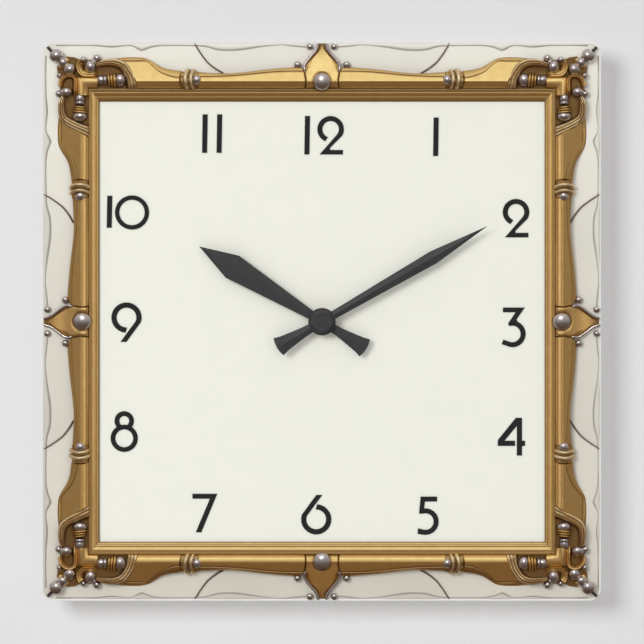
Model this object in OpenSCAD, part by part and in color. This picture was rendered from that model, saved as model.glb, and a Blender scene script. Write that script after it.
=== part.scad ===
// Square ornate quartz wall clock.
// Row frame: +Z up, the dial faces -Y, the wall is the plane y = 0, and the
// origin is the centre of the hanging hole where it meets the wall.

/* [Panel] */
// Width and height of the square panel
panel_size = 273; // [250:1:300]
// Radius of the panel's rounded corners
panel_corner_r = 6; // [4:0.5:10]
// Thickness of the panel
panel_t = 4; // [3:0.5:5]
// Thickness of the dial plate
dial_t = 1; // [0.8:0.1:1.5]

/* [Hands] */
// Length of the minute hand from the centre
minute_len = 93.3; // [80:0.1:98]
// Length of the hour hand from the centre
hour_len = 70.3; // [60:0.1:80]
// Minute hand's angle, clockwise from twelve
minute_angle = 60; // [0:1:359]
// Hour hand's angle, clockwise from twelve
hour_angle = 301.5; // [0:0.5:359.5]
// Radius of the round hub of each hand
hub_r = 6.7; // [6.5:0.1:8]
// Thickness of the hands' sheet metal
hand_t = 0.7; // [0.5:0.1:0.8]

/* [Movement] */
// Width and height of the movement case
case_size = 56; // [56:1:60]
// Depth of the movement case
case_depth = 15.5; // [15.5:0.5:18]
// Height of the hanging hole above the hands' axis
hanger_rise = 34; // [33:0.5:38]
// Radius of the hanging hole
hanger_hole_r = 3; // [2:0.5:4]
// Radial running clearance of arbors and tubes
run_gap = 0.05; // [0.02:0.01:0.08]

/* [Hidden] */
$fn = 48;
eps = 0.01;

// ---- depth levels: distances out from the wall ----
case_wall = 1;
hanger_t = 1.2;
gasket_t = 0.8;
panel_back = case_depth + hanger_t + gasket_t;
panel_front = panel_back + panel_t;
dial_front = panel_front + dial_t;
washer_t = 0.6;
nut_t = 2.2;
bush_end = dial_front + washer_t + nut_t + 0.3;
hour_hand_z = bush_end + 0.5;
minute_hand_z = hour_hand_z + hand_t + 1.5;
cap_z = minute_hand_z + hand_t;
cap_h = 2.3;
cap_r = 5.55;

// ---- ornament: its numbers are for a panel 273 wide, and grow with the panel ----
fit = panel_size / 273;
half = 136.5;
dial_half_w = 108.8;   // the dial opening is slightly wider than it is high
dial_half_h = 107.6;
moulding_out = 113.8;  // outer edge of the inner moulding
moulding_h = 2.4;
moulding_lip_w = 1.1;  // square lip against the dial
moulding_lip_h = 3;
moulding_bead_v = 111.05;
moulding_bead_r = 1.5;
bed_h = 1.5;           // thin gold bed that joins each rail's pieces
rim_h = 3.5;           // low bevelled rim of a rail
flat_h = 4.5;          // flat of a rail
rod_v = 116.7;         // centre line of the round rod along each rail
rod_r = 1.5;
collar_u = 60.4;       // where a rail's collar starts
collar_end = 68.6;
rail_start = 8.8;
side_shift = 2.4;      // the balusters of the two upright sides sit further out

// ---- movement ----
bush_r = 4;
hour_tube_r = 2.55;
arbor_r = 1.6;         // minute arbor
pin_r = 0.5;           // small train arbors
knob_shaft_r = 1.2;
motion_pin_r = 0.6;
cover_t = 1.2;
front_in = case_depth - case_wall;
plate_z = front_in - 4.1;   // rear face of the middle plate
plate_t = 0.8;
train_m = 0.25;             // gear modules
third_m = 9 / 34;
rotor_m = 0.24;
cannon_m = 0.375;
hour_m = 0.36;
axis_gap = 9;               // distance between neighbouring arbors
third_dir = 20;
inter_dir = 110;
rotor_dir = 60;
motion_dir = 200;
knob_dir = 150;
third_pos = axis_gap * [cos(third_dir), sin(third_dir)];
inter_pos = axis_gap * [cos(inter_dir), sin(inter_dir)];
rotor_pos = inter_pos + 28 * rotor_m * [cos(rotor_dir), sin(rotor_dir)];
motion_pos = axis_gap * [cos(motion_dir), sin(motion_dir)];
knob_pos = motion_pos + axis_gap * [cos(knob_dir), sin(knob_dir)];
cell_r = 7;
cell_y = -19.2;
cell_z = 7.4;
bay_top = -11;
plus_x = 25.4;              // contact strips
minus_x = -25.1;
strip_t = 0.3;
strip_w = 1;
strip_z = 5;
board_y = 9.6;
coil_y = 22.3;
coil_z = 7.4;

gold = [0.84, 0.62, 0.27];
pale_gold = [0.93, 0.78, 0.45];
silver = [0.72, 0.68, 0.68];
ivory = [0.9, 0.88, 0.82];
charcoal = [0.2, 0.2, 0.21];
brass = [0.8, 0.65, 0.3];
steel = [0.7, 0.71, 0.73];
black_plastic = [0.12, 0.12, 0.13];
white_plastic = [0.92, 0.92, 0.9];

// ---- curves ----
// A smooth curve through the points p, with n steps between neighbours.
function spline(a, b, c, d, t) =
    0.5 * (2 * b + (c - a) * t + (2 * a - 5 * b + 4 * c - d) * t * t
        + (3 * b - a - 3 * c + d) * t * t * t);
function curve(p, n = 4) = [
    for (i = [0 : len(p) - 2], s = [0 : n - 1])
        spline(p[max(i - 1, 0)], p[i], p[i + 1], p[min(i + 2, len(p) - 1)], s / n),
    p[len(p) - 1]
];
function unit(v) = v / norm(v);
function normal_at(p, i) =
    let (d = unit(p[min(i + 1, len(p) - 1)] - p[max(i - 1, 0)])) [-d.y, d.x];
// The curve p moved sideways by d, to the left of its direction.
function shifted(p, d) = [for (i = [0 : len(p) - 1]) p[i] + d * normal_at(p, i)];
function reversed(p) = [for (i = [len(p) - 1 : -1 : 0]) p[i]];
function arc_points(c, r, a0, a1, n = 20) =
    [for (i = [0 : n]) let (a = a0 + (a1 - a0) * i / n) c + r * [cos(a), sin(a)]];

module strip(p, w) polygon(concat(shifted(p, w / 2), reversed(shifted(p, -w / 2))));

// ---- placing ----
// Local frame of the clock: x right, y up, z out from the wall, centred on the hands' axis.
module clock() rotate([90, 0, 0]) translate([0, -hanger_rise, 0]) children();
module on_panel() clock() translate([0, 0, panel_front]) scale(fit) children();
module on_side(i) rotate(-90 * i) children();
module both_ways() {
    children();
    mirror([1, 0, 0]) children();
}
module each_side() for (i = [0 : 3]) on_side(i) both_ways() children();
module at(p, z = 0) translate([p.x, p.y, z]) children();
function shift_of(i) = i % 2 * side_shift;

module rounded_square(size, r) {
    square([size, size - 2 * r], center = true);
    square([size - 2 * r, size], center = true);
    for (x = [-1, 1], y = [-1, 1]) translate([x, y] * (size / 2 - r)) circle(r);
}

// A round bead on a short stem, standing lift above its seat.
module bead(r, lift) rotate_extrude() {
    square([r, lift + eps]);
    intersection() {
        translate([0, lift]) circle(r);
        translate([0, lift]) square(r);
    }
}

// ---- ornament outlines, for u along a side and v outwards, u > 0 half ----
rail_mid_edge = [[rail_start, 123], [12, 124.2], [20, 123.6], [30, 122.6], [40, 121.6],
    [48, 121.1], [collar_u, 121.8]];
rail_mid_line = [[rail_start, 122.2], [20, 122.2], [30, 121.3], [40, 120.4], [50, 119.8],
    [collar_u, 119.8]];
rail_end_edge = [[collar_end, 123], [75, 123.8], [80, 125.2], [82, 126.5], [85, 128.5],
    [90, 129], [97, 129.2], [101, 128.9]];
rail_end_line = [[collar_end, 119.4], [73, 120.2], [77, 121.2], [80, 123], [85, 126.4],
    [91, 126.4]];
rail_end_stop = [[97.4, 128.1], [95.2, 127.8], [92.9, 126], [91.1, 122.3], [90.1, 118.7],
    [89.6, moulding_out]];
bed_edge = [[0, 120.8], [collar_u, 120.8], [collar_u, 122.5], [collar_end, 122.5],
    [86, 123.5], [96, 128.4], [104, 128.4], [108.4, 127.4]];
hood_lines = [
    [[108, 125.8], [104, 126.6], [100, 126.2], [97, 124.5], [95, 121], [94, 117.5], [93.5, 115]],
    [[108, 127.3], [103, 127.9], [98, 126.8], [95.5, 124.5], [93.8, 121], [92.7, 117], [92.3, 115]],
    [[96, 127], [93.8, 125.5], [92, 122], [91, 118.5], [90.5, 115]]
];
arc_line = [[62, 136], [60, 132.2], [57.5, 129.3], [55, 126.2], [52.5, 124.3], [50, 122.7],
    [48, 121.9]];
lip_line = [[7.9, 134], [15, 135], [20, 135.6], [30, 134.7], [40, 133], [46, 132.6],
    [51, 133], [57, 134.9], [65, 135.2], [76, 135], [80, 134.5], [84.8, 132.9], [93, 135.2],
    [102.5, 134.5], [110, 135.2], [135.2, 135.2]];
palmette_edge = [[7.2, 114], [7.2, 119], [8.5, 122.6], [8, 125], [6, 128], [4, 130],
    [2.5, 132], [1.5, 134], [1.2, 136.4]];
niche_line = [[119.7, 127], [119.5, 124], [118.5, 121.5], [117.3, 119.6]];
corner_edge = [[108.4, moulding_out], [108.4, 126.6], [112, 127.6], [118, 127.2],
    [121, 129], [125, 129.2], [127.6, 127.6]];

big_bead_pos = [0, 116.8];
big_bead_r = 4.85;
rail_bead_pos = [61.2, 118];
rail_bead_r = 2.6;
baluster_bead_pos = [97.9, 118];
baluster_bead_r = 2.9;
cup_pos = [123, 123];
cup_r = 2.8;
finial_pos = [129.3, 129.3];
finial_r = 3.3;
knob_bead_r = 2.7;
function knob_bead_pos(i) = i % 2 == 0 ? [112.4, 124.6] : [112, 124];
// Small beads along one half of side i: place and radius.
function small_bead_list(i) = [
    [[12, 125.9], 1.5], [[5.8, 134.6], 1.9],
    [i % 2 == 0 ? [110, 129] : [111.6, 128.6], 1.9],
    [i % 2 == 0 ? [116.2, 128.3] : [119.6, 128.2], 1.5]
];

module half_outline(edge, inner) polygon(concat(edge, [[edge[len(edge) - 1].x, inner],
    [edge[0].x, inner]]));
// The outline edge, closed by its own mirror image across the side's middle.
module whole_outline(edge) polygon(concat(edge, [for (p = reversed(edge)) [-p.x, p.y]]));
module bed_2d() whole_outline(concat(bed_edge, [[bed_edge[len(bed_edge) - 1].x, moulding_out]]));
module big_bead_hole() translate(big_bead_pos) circle(5.2);

// ================= panel and dial =================
module back_panel() color(ivory) clock() translate([0, 0, panel_back]) difference() {
    linear_extrude(panel_t) rounded_square(panel_size, panel_corner_r);
    translate([0, 0, -1]) cylinder(r = bush_r + 0.1, h = panel_t + 2);
}

module dial_plate() color([0.94, 0.94, 0.9]) clock() translate([0, 0, panel_front])
    difference() {
        linear_extrude(dial_t) square(2 * fit * [dial_half_w, dial_half_h], center = true);
        translate([0, 0, -1]) cylinder(r = bush_r + 0.1, h = dial_t + 2);
    }

// Raised ivory lip along the panel's edge, open for each palmette's tip and each corner pin.
module border_lip() color(ivory) on_panel() linear_extrude(1) difference() {
    intersection() {
        rounded_square(2 * half, panel_corner_r / fit);
        each_side() polygon(concat(curve(lip_line), [[half, half], [7.9, half]]));
    }
    for (i = [0 : 3]) on_side(i) strip([[125, 125], [140, 140]], 1.4);
    each_side() translate([5.8, 134.6]) circle(2.05);
}

// ================= inner moulding =================
// The outline of one side's moulding, for u > 0: from the dial's corner along the mitre.
function mitre_line(i) =
    let (w = i % 2 == 0 ? dial_half_w : dial_half_h, h = i % 2 == 0 ? dial_half_h : dial_half_w)
    [[w, h], [w, h] + moulding_lip_w * [1, 1], (dial_half_w + moulding_lip_w) * [1, 1],
        moulding_out * [1, 1]];

module inner_moulding(i) color(gold) on_panel() on_side(i) difference() {
    inner = mitre_line(i)[0].y;
    intersection() {
        translate([-half, 0, 0]) rotate([90, 0, 90]) linear_extrude(2 * half) union() {
            translate([inner, 0]) square([moulding_out - inner, moulding_h]);
            translate([inner, 0]) square([moulding_lip_w, moulding_lip_h]);
            translate([moulding_bead_v, moulding_h + 0.2]) circle(moulding_bead_r);
        }
        linear_extrude(10) whole_outline(mitre_line(i));
    }
    translate([0, 0, bed_h]) linear_extrude(10) big_bead_hole();
}

// ================= rails =================
module rail_rod(u0, u1) intersection() {
    translate([u0, rod_v, flat_h - 0.2]) rotate([0, 90, 0]) cylinder(r = rod_r, h = u1 - u0);
    translate([u0, rod_v - 5, flat_h - eps]) cube([u1 - u0, 10, 5]);
}

module rail(i) color(gold) on_panel() on_side(i) difference() {
    union() {
        linear_extrude(bed_h) bed_2d();
        linear_extrude(rim_h) both_ways() {
            half_outline(curve(rail_mid_edge), moulding_out);
            polygon(concat([[collar_end, moulding_out]], curve(rail_end_edge), rail_end_stop));
        }
        linear_extrude(flat_h) both_ways() {
            half_outline(curve(rail_mid_line), moulding_out);
            polygon(concat([[collar_end, moulding_out]], curve(rail_end_line),
                [[91, 122.2], [90, 118.7], [89.5, moulding_out]]));
        }
        both_ways() {
            rail_rod(rail_start, collar_u);
            rail_rod(collar_end, 89.5);
        }
    }
    translate([0, 0, bed_h]) linear_extrude(10) {
        big_bead_hole();
        both_ways() translate(rail_bead_pos) circle(rail_bead_r + 0.1);
    }
}

module rail_collars() color(pale_gold) on_panel() each_side() difference() {
    translate([0, 118.4, bed_h]) rotate([0, 90, 0]) union() {
        translate([0, 0, 64]) cylinder(r = 4.1, h = 1.5);
        translate([0, 0, 65.4]) cylinder(r = 3.5, h = 1.2);
        translate([0, 0, 66.5]) cylinder(r = 4.1, h = 1.8);
    }
    translate([60, 110, bed_h - 10]) cube([12, 20, 10]);
}

// Silver beads that stand on the rails: at the collars and in the hoods.
module rail_beads() color(silver) on_panel() for (i = [0 : 3]) on_side(i) both_ways() {
    at(rail_bead_pos, bed_h) bead(rail_bead_r, 2);
    at(baluster_bead_pos + [shift_of(i), 0], bed_h) bead(baluster_bead_r, 1);
}

// ================= palmettes =================
module palmette_2d(inset) whole_outline(shifted(curve(palmette_edge), inset));

module palmette(i) color(gold) on_panel() on_side(i) difference() {
    linear_extrude(3.6) palmette_2d(1);
    linear_extrude(bed_h) bed_2d();
    linear_extrude(10) big_bead_hole();
}

module palmette_rims() color(silver) on_panel() for (i = [0 : 3]) on_side(i) difference() {
    linear_extrude(3) difference() {
        palmette_2d(0);
        palmette_2d(1);
    }
    linear_extrude(bed_h) bed_2d();
    linear_extrude(10) big_bead_hole();
    each_side() translate([0, 0, -1]) for (b = small_bead_list(0)) at(b[0])
        cylinder(r = b[1] + 0.05, h = 10);
}

module big_beads() color(silver) on_panel() for (i = [0 : 3]) on_side(i)
    at(big_bead_pos, bed_h) bead(big_bead_r, 0.6);

module small_beads() color(silver) on_panel() for (i = [0 : 3]) on_side(i) both_ways()
    for (b = small_bead_list(i)) at(b[0]) bead(b[1], 1.6);

// ================= corners =================
// Gold ribs of the hood that closes each rail towards its corner.
module hood_ribs() color(pale_gold) on_panel() each_side()
    translate([0, 0, bed_h]) linear_extrude(3.8) for (line = hood_lines) strip(curve(line), 1.1);

module half_disc(r, u0, u1, z) intersection() {
    translate([u0, 118.6, z]) rotate([0, 90, 0]) cylinder(r = r, h = u1 - u0);
    translate([u0, 100, z]) cube([u1 - u0, 40, 20]);
}

module baluster_rings() color(gold) on_panel() for (i = [0 : 3]) on_side(i) both_ways()
    translate([shift_of(i), 0, 0]) for (k = [0 : 2])
        half_disc(3.9 - 0.2 * k, 100.9 + 1.25 * k, 102.15 + 1.25 * k, bed_h);

module baluster_collars() color(silver) on_panel() for (i = [0 : 3]) on_side(i) both_ways()
    translate([shift_of(i) + 104.7, 116.3, bed_h + (i % 2) * 0.5])
        cube([3.6 - shift_of(i) * 0.1, 4.4, 4]);

module corner_sockets(i) translate([0, 0, -1]) {
    for (b = small_bead_list(i)) at(b[0]) cylinder(r = b[1] + 0.05, h = 10);
    at(knob_bead_pos(i)) cylinder(r = knob_bead_r + 0.05, h = 10);
}

// i = 0 is the top right corner, and i goes clockwise.
module corner_plate(i) color(gold) on_panel() on_side(i) difference() {
    union() {
        linear_extrude(2) polygon(concat(corner_edge,
            [for (p = reversed(corner_edge)) [p.y, p.x]], [[moulding_out, moulding_out]]));
        for (flip = [0, 1]) mirror(flip * [1, -1, 0]) {
            linear_extrude(5) strip(curve(niche_line), 1.6);
            intersection() {
                translate([108.4, rod_v, 2]) rotate([0, 90, 0]) cylinder(r = rod_r, h = 10);
                linear_extrude(20) polygon([[108, 108], [120, 120], [108, 120]]);
            }
            translate([125.6, 127.2, 0]) bead(1.7, 2.4);
        }
    }
    corner_sockets(i);
    mirror([1, -1, 0]) corner_sockets(i + 1);
    translate([0, 0, 1]) {
        at(cup_pos) cylinder(r = cup_r + 0.05, h = 10);
        for (flip = [0, 1]) mirror(flip * [1, -1, 0]) translate([shift_of(i + flip), 0, 0])
            translate([104.6, 116.2, bed_h - 1]) cube([3.9, 4.6, 9]);
    }
    at(finial_pos, -1) cylinder(r = finial_r + 0.05, h = 12);
}

module corner_knobs() color(silver) on_panel() for (i = [0 : 3]) on_side(i) both_ways()
    at(knob_bead_pos(i)) bead(knob_bead_r, 2.4);

module corner_finials() color(silver) on_panel() for (i = [0 : 3]) on_side(i) {
    at(cup_pos, 1) bead(cup_r, 1.8);
    at(finial_pos) bead(finial_r, 2);
}

// Thin dark wires: two arcs on each side and a pin at each corner.
module dark_wires() color(charcoal) on_panel() {
    each_side() linear_extrude(1.2) difference() {
        strip(curve(arc_line), 0.9);
        half_outline(curve(rail_mid_edge), moulding_out);
        polygon(concat(curve(lip_line), [[half, half + 5], [7.9, half + 5]]));
    }
    for (i = [0 : 3]) on_side(i) difference() {
        linear_extrude(1.6) strip([[130, 130], [134.2, 134.2]], 1);
        at(finial_pos, -1) cylinder(r = finial_r + 0.05, h = 12);
    }
}

// ================= numerals =================
bowl_r = 6.5;          // round bowls of 2, 3 and 5: outer and inner radius
bowl_in = 4.05;

module bar(h) polygon([[-1.08, h], [1.37, h], [1.07, -h], [-1.38, -h]]);

module digit_two() polygon(concat(
    arc_points([0, 0], bowl_r, 245, -28),
    [[-0.3, -9.1], [-0.3, -10.1], [6, -10.1], [6, -12.3], [-5.4, -12.3]],
    arc_points([0, 0], bowl_in, -47, 251)));

module digit_three() polygon(concat(
    [[-4.6, 12.9], [6.1, 12.9], [2.1, 7.2]],
    arc_points([0, 0], bowl_r, 68, -100),
    [[-5.2, -5], [-4.4, -2.8]],
    arc_points([0, 0], bowl_in, -112, 110),
    [[-2.2, 4.9], [1.6, 10.6], [-4.6, 10.6]]));

module digit_four() {
    polygon([[2.2, 9.2], [5.2, 9.2], [5.2, -9.2], [2.7, -9.2], [2.7, 5.3], [-3.4, -2],
        [1.8, -2], [1.8, -4.5], [-6.6, -4.5], [-6.6, -1.7]]);
    translate([5.2 - eps, -4.5]) square([1.5, 2.5]);
}

module digit_five() polygon(concat(
    [[-2.3, 12.2], [5.7, 12.2], [5.7, 9.8], [-0.2, 9.8], [-0.7, 6.45]],
    arc_points([0, 0], bowl_r, 88, -100),
    [[-3.8, -6], [-3.6, -3.3]],
    arc_points([0, 0], bowl_in, -112, 104),
    [[-3.1, 3.9]]));

module digit_six() polygon(concat(
    arc_points([0, 0], 7.4, 86, -197),
    [[0.05, 11.9], [2.95, 11.9]],
    arc_points([0, 0], 4.85, -201, 93)));

module digit_seven() polygon([[-6, 9.4], [6.1, 9.4], [-1.7, -9.4], [-4.4, -9.4], [2.5, 7],
    [-6, 7]]);

module ring_2d(outer, inner) difference() {
    circle(outer);
    circle(inner);
}

module digit_eight() {
    difference() {
        translate([0, 8.5]) circle(4.75);
        translate([0, 8.5]) circle(2.4);
        circle(5);
    }
    ring_2d(6.65, 4.35);
}

module numerals() color([0.1, 0.1, 0.1]) clock() translate([0, 0, dial_front])
    linear_extrude(0.4) scale(fit) {
        translate([55.65, 90.35]) bar(9.4);
        translate([94.8, 53.5]) digit_two();
        translate([93, -6]) digit_three();
        translate([92.5, -56.2]) digit_four();
        translate([50.5, -97.7]) digit_five();
        translate([-2.85, -96.6]) digit_six();
        translate([-57.3, -93.5]) digit_seven();
        translate([-96.65, -57]) digit_eight();
        translate([-95.55, 2]) rotate(180) digit_six();
        translate([-103.85, 53.7]) bar(7.8);
        translate([-92.85, 53.35]) ring_2d(8.35, 6.2);
        translate([-57.25, 91.9]) bar(9.4);
        translate([-50.15, 91.9]) bar(9.4);
        translate([-7.25, 91.1]) bar(9.4);
        translate([4.2, 94]) digit_two();
    }

// ================= hands =================
// A tapered hand that points up: widest at belly_y, with a flared tail below the hub.
module hand_2d(len, root_w, belly_w, belly_y, waist_w, tail_w, tail_r) {
    a = asin(tail_w / 2 / tail_r);
    root_a = asin(root_w / 2 / hub_r);
    waist_a = asin(waist_w / 2 / hub_r);
    side = concat([[belly_w / 2, belly_y]],
        arc_points([0, 0], hub_r, 90 - root_a, waist_a - 90, 24),
        curve([[waist_w / 2, -hub_r], [waist_w / 2 + 0.9, -14], tail_r * [sin(a), -cos(a)]]));
    polygon(concat([[0, len]], side, arc_points([0, 0], tail_r, -90 + a, -90 - a, 10),
        [for (p = reversed(side)) [-p.x, p.y]]));
}

module hour_hand() color(charcoal) clock() translate([0, 0, hour_hand_z]) rotate(-hour_angle)
    difference() {
        linear_extrude(hand_t) hand_2d(hour_len, 3.8, 12.6, 51.4, 4.2, 9.8, 25.4);
        translate([0, 0, -1]) cylinder(r = 3.3, h = 3);
    }

module hour_hand_collet() color(brass) clock() difference() {
    union() {
        translate([0, 0, hour_hand_z - 0.3]) cylinder(r = 4.4, h = 0.3);
        translate([0, 0, hour_hand_z - 0.3]) cylinder(r = 3.3, h = 0.3 + hand_t + 0.3);
    }
    translate([0, 0, bush_end]) cylinder(r = hour_tube_r, h = 5);
}

module minute_hand() color(charcoal) clock() translate([0, 0, minute_hand_z])
    rotate(-minute_angle) difference() {
        linear_extrude(hand_t) hand_2d(minute_len, 3.5, 6.6, 62.9, 4.4, 9.7, 25.4);
        translate([0, 0, -1]) cylinder(r = 2.4, h = 3);
    }

module minute_hand_bush() color(brass) clock() difference() {
    union() {
        translate([0, 0, minute_hand_z - 0.3]) cylinder(r = 4, h = 0.3);
        translate([0, 0, minute_hand_z - 0.3]) cylinder(r = 2.4, h = 0.3 + hand_t + 0.4);
    }
    translate([0, 0, minute_hand_z - 1]) cylinder(r = arbor_r, h = 5);
}

module hand_cap() color(charcoal) clock() translate([0, 0, cap_z]) difference() {
    rotate_extrude() polygon([[0, 0], [cap_r, 0], [cap_r, cap_h - 0.8], [cap_r - 0.6, cap_h - 0.2],
        [cap_r - 1.4, cap_h], [0, cap_h]]);
    translate([0, 0, -1]) cylinder(r = 2.45, h = 1.4);
    translate([0, 0, -1]) cylinder(r = arbor_r, h = 1.9);
}

// ================= movement: fixed pieces =================
module hanger() color(steel) clock() {
    width = 16;
    leg_y = case_size / 2 + 0.3;
    difference() {
        translate([-width / 2, -9, case_depth]) cube([width, leg_y + 9 + hanger_t, hanger_t]);
        translate([0, 0, case_depth - 1]) cylinder(r = bush_r + 0.1, h = 5);
    }
    translate([-width / 2, leg_y, 0]) cube([width, hanger_t, case_depth + eps]);
    difference() {
        union() {
            translate([-width / 2, leg_y, 0]) cube([width, hanger_rise - leg_y, hanger_t]);
            intersection() {
                translate([0, hanger_rise, 0]) cylinder(r = width / 2, h = hanger_t);
                translate([-width / 2, leg_y, 0]) cube([width, 20, hanger_t]);
            }
        }
        translate([0, hanger_rise, -1]) cylinder(r = hanger_hole_r, h = 4);
    }
}

module gasket() color([0.15, 0.15, 0.15]) clock() translate([0, 0, case_depth + hanger_t])
    difference() {
        cylinder(r = 15, h = gasket_t);
        translate([0, 0, -1]) cylinder(r = bush_r + 0.1, h = 3);
    }

module fixing_washer() color(brass) clock() translate([0, 0, dial_front]) difference() {
    cylinder(r = 6.5, h = washer_t);
    translate([0, 0, -1]) cylinder(r = bush_r + 0.1, h = 3);
}

module fixing_nut() color(brass) clock() translate([0, 0, dial_front + washer_t]) difference() {
    cylinder(r = 6.3, h = nut_t, $fn = 6);
    translate([0, 0, -1]) cylinder(r = bush_r + 0.02, h = 5);
}

post_xy = case_size / 2 - 3.2;
post_list = [[post_xy, post_xy], [-post_xy, post_xy], [22, -8.6], [-22, -8.6]];

// Front half of the case, with the threaded bush that clamps the panel.
module movement_case() color(black_plastic) clock() difference() {
    union() {
        translate([0, 0, cover_t]) linear_extrude(case_depth - cover_t)
            rounded_square(case_size, 3);
        translate([0, 0, case_depth - eps]) cylinder(r = bush_r, h = bush_end - case_depth);
    }
    difference() {
        translate([0, 0, cover_t - 1]) linear_extrude(front_in - cover_t + 1)
            square(case_size - 2.4, center = true);
        for (p = post_list) at(p, plate_z + plate_t) cylinder(r = 1.6, h = 5);
    }
    cylinder(r = hour_tube_r + run_gap, h = bush_end + 1);
    for (p = [motion_pos, knob_pos]) at(p, front_in - 1)
        cylinder(r = motion_pin_r + run_gap, h = 1.6);
}

module pivot_boss(p) at(p, cover_t - eps) cylinder(r = 1.5, h = 1.2);

// Rear half: plate, battery bay, knob recess, posts and pivot bosses.
module rear_cover() color(black_plastic) clock() difference() {
    union() {
        linear_extrude(cover_t) rounded_square(case_size, 3);
        translate([-26.4, bay_top - 1, 0]) cube([52.8, 1, front_in - 0.1]);
        at(knob_pos) cylinder(r = 7.2, h = 4.3);
        for (p = [[0, 0], third_pos, inter_pos, rotor_pos]) pivot_boss(p);
        for (p = post_list) at(p, cover_t - eps) cylinder(r = 1.6, h = plate_z - cover_t);
        for (p = [[-24.8, 11], [-14, 20.8]]) at(p, cover_t - eps) cylinder(r = 1.2, h = 3);
    }
    translate([-25.9, -26.6, -1]) cube([51.8, 14.6, 5]);
    for (x = [plus_x, minus_x]) translate([x - 0.1, bay_top - 2, strip_z - 0.1])
        cube([strip_t + 0.2, 3, strip_w + 0.2]);
    at(knob_pos, -1) cylinder(r = 6.2, h = 4.3);
    at(knob_pos, -1) cylinder(r = knob_shaft_r + run_gap, h = 10);
    for (p = [[0, 0], third_pos, inter_pos, rotor_pos]) at(p, 1.6)
        cylinder(r = pin_r + run_gap, h = 3);
}

module middle_plate() color(white_plastic) clock() difference() {
    translate([-26.5, bay_top + 0.2, plate_z]) cube([53, 37.3, plate_t]);
    translate([0, 0, plate_z - 1]) {
        cylinder(r = arbor_r + run_gap, h = 5);
        for (p = [third_pos, inter_pos, rotor_pos]) at(p) cylinder(r = pin_r + run_gap, h = 5);
        at(motion_pos) cylinder(r = motion_pin_r + run_gap, h = 5);
        at(knob_pos) cylinder(r = knob_shaft_r + run_gap, h = 5);
    }
}

module battery_cell() color([0.2, 0.35, 0.25]) clock() translate([-24.6, cell_y, cell_z])
    rotate([0, 90, 0]) {
        cylinder(r = cell_r, h = 49);
        cylinder(r = 2.7, h = 50);
    }

// Stamped strips: a plate at each end of the cell, and a tail that runs through a slot in
// the bay's wall to the circuit board. The plus tail crosses the case below the wheels.
module battery_contacts() color(steel) clock() {
    board_end = board_y + 1 - bay_top;
    for (x = [plus_x, minus_x]) translate([x, cell_y - 5, 2]) cube([strip_t, 10, 11]);
    translate([0, 0, strip_z]) {
        translate([minus_x, cell_y, 0]) cube([strip_t, board_y + 1 - cell_y, strip_w]);
        translate([plus_x, cell_y, 0]) cube([strip_t, bay_top + 0.7 - cell_y, strip_w]);
        translate([minus_x + 0.8, bay_top + 0.4, 0])
            cube([plus_x + strip_t - minus_x - 0.8, strip_t, strip_w]);
        translate([minus_x + 0.8, bay_top + 0.4, 0]) cube([strip_t, board_end - 0.4, strip_w]);
    }
}

module circuit_board() color([0.1, 0.4, 0.2]) clock() {
    translate([-26.2, board_y, strip_z - 0.8]) cube([13.6, 13, 0.8]);
    intersection() {
        translate([-17.5, 16, 3.1]) sphere(3.3);
        translate([-22, 12, 5 - eps]) cube(8);
    }
}

module quartz_crystal() color(steel) clock() translate([-23.5, 12, 6]) rotate([-90, 0, 0])
    cylinder(r = 1, h = 6);

module coil_bobbin() color(white_plastic) clock() translate([-6, coil_y, coil_z])
    rotate([0, 90, 0]) difference() {
        union() {
            cylinder(r = 2.9, h = 0.8);
            cylinder(r = 1.9, h = 15);
            translate([0, 0, 14.2]) cylinder(r = 2.9, h = 0.8);
        }
        translate([0, 0, -1]) cylinder(r = 1.5, h = 17);
    }

module coil_winding() color([0.72, 0.4, 0.2]) clock() translate([-5.2, coil_y, coil_z])
    rotate([0, 90, 0]) difference() {
        cylinder(r = 2.7, h = 13.4);
        translate([0, 0, -1]) cylinder(r = 1.9, h = 16);
    }

module stator() color(steel) clock() {
    x0 = -10;
    x1 = 13;
    arm = 2.5;
    difference() {
        union() {
            translate([x0, rotor_pos.y - 3.8, 5.3]) cube([x1 - x0, 7.6, 0.9]);
            for (x = [x0, x1 - arm]) translate([x, rotor_pos.y, 5.3])
                cube([arm, 24 - rotor_pos.y, 0.9]);
        }
        at(rotor_pos, 5) cylinder(r = 3.3, h = 2);
    }
    translate([x0, coil_y - 1, 6.4]) cube([x1 - x0, 2, 2]);
    for (x = [x0, x1 - arm]) translate([x, coil_y - 1, 6.2 - eps]) cube([arm, 2, 0.5]);
}

// ================= movement: moving pieces =================
// Straight-flanked teeth: four points a tooth, at shares of the tooth pitch.
function tooth(r0, r1) = [[r0, -0.3], [r1, -0.12], [r1, 0.12], [r0, 0.3]];
function gear_outline(teeth, m, phase) = [
    for (i = [0 : teeth - 1], p = tooth(m * (teeth / 2 - 1.15), m * (teeth / 2 + 0.8)))
        let (a = phase + (i + p[1]) * 360 / teeth) p[0] * [cos(a), sin(a)]
];
module gear(teeth, m, phase, z, h)
    translate([0, 0, z]) linear_extrude(h) polygon(gear_outline(teeth, m, phase));
// Phase of a gear of t2 teeth that meshes with one of t1 teeth and phase a1, seen at
// direction dir from the first one's centre.
function mesh_phase(t1, a1, dir, t2) = dir + 180 - 360 / t2 * (0.5 - (dir - a1) * t1 / 360);

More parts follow.
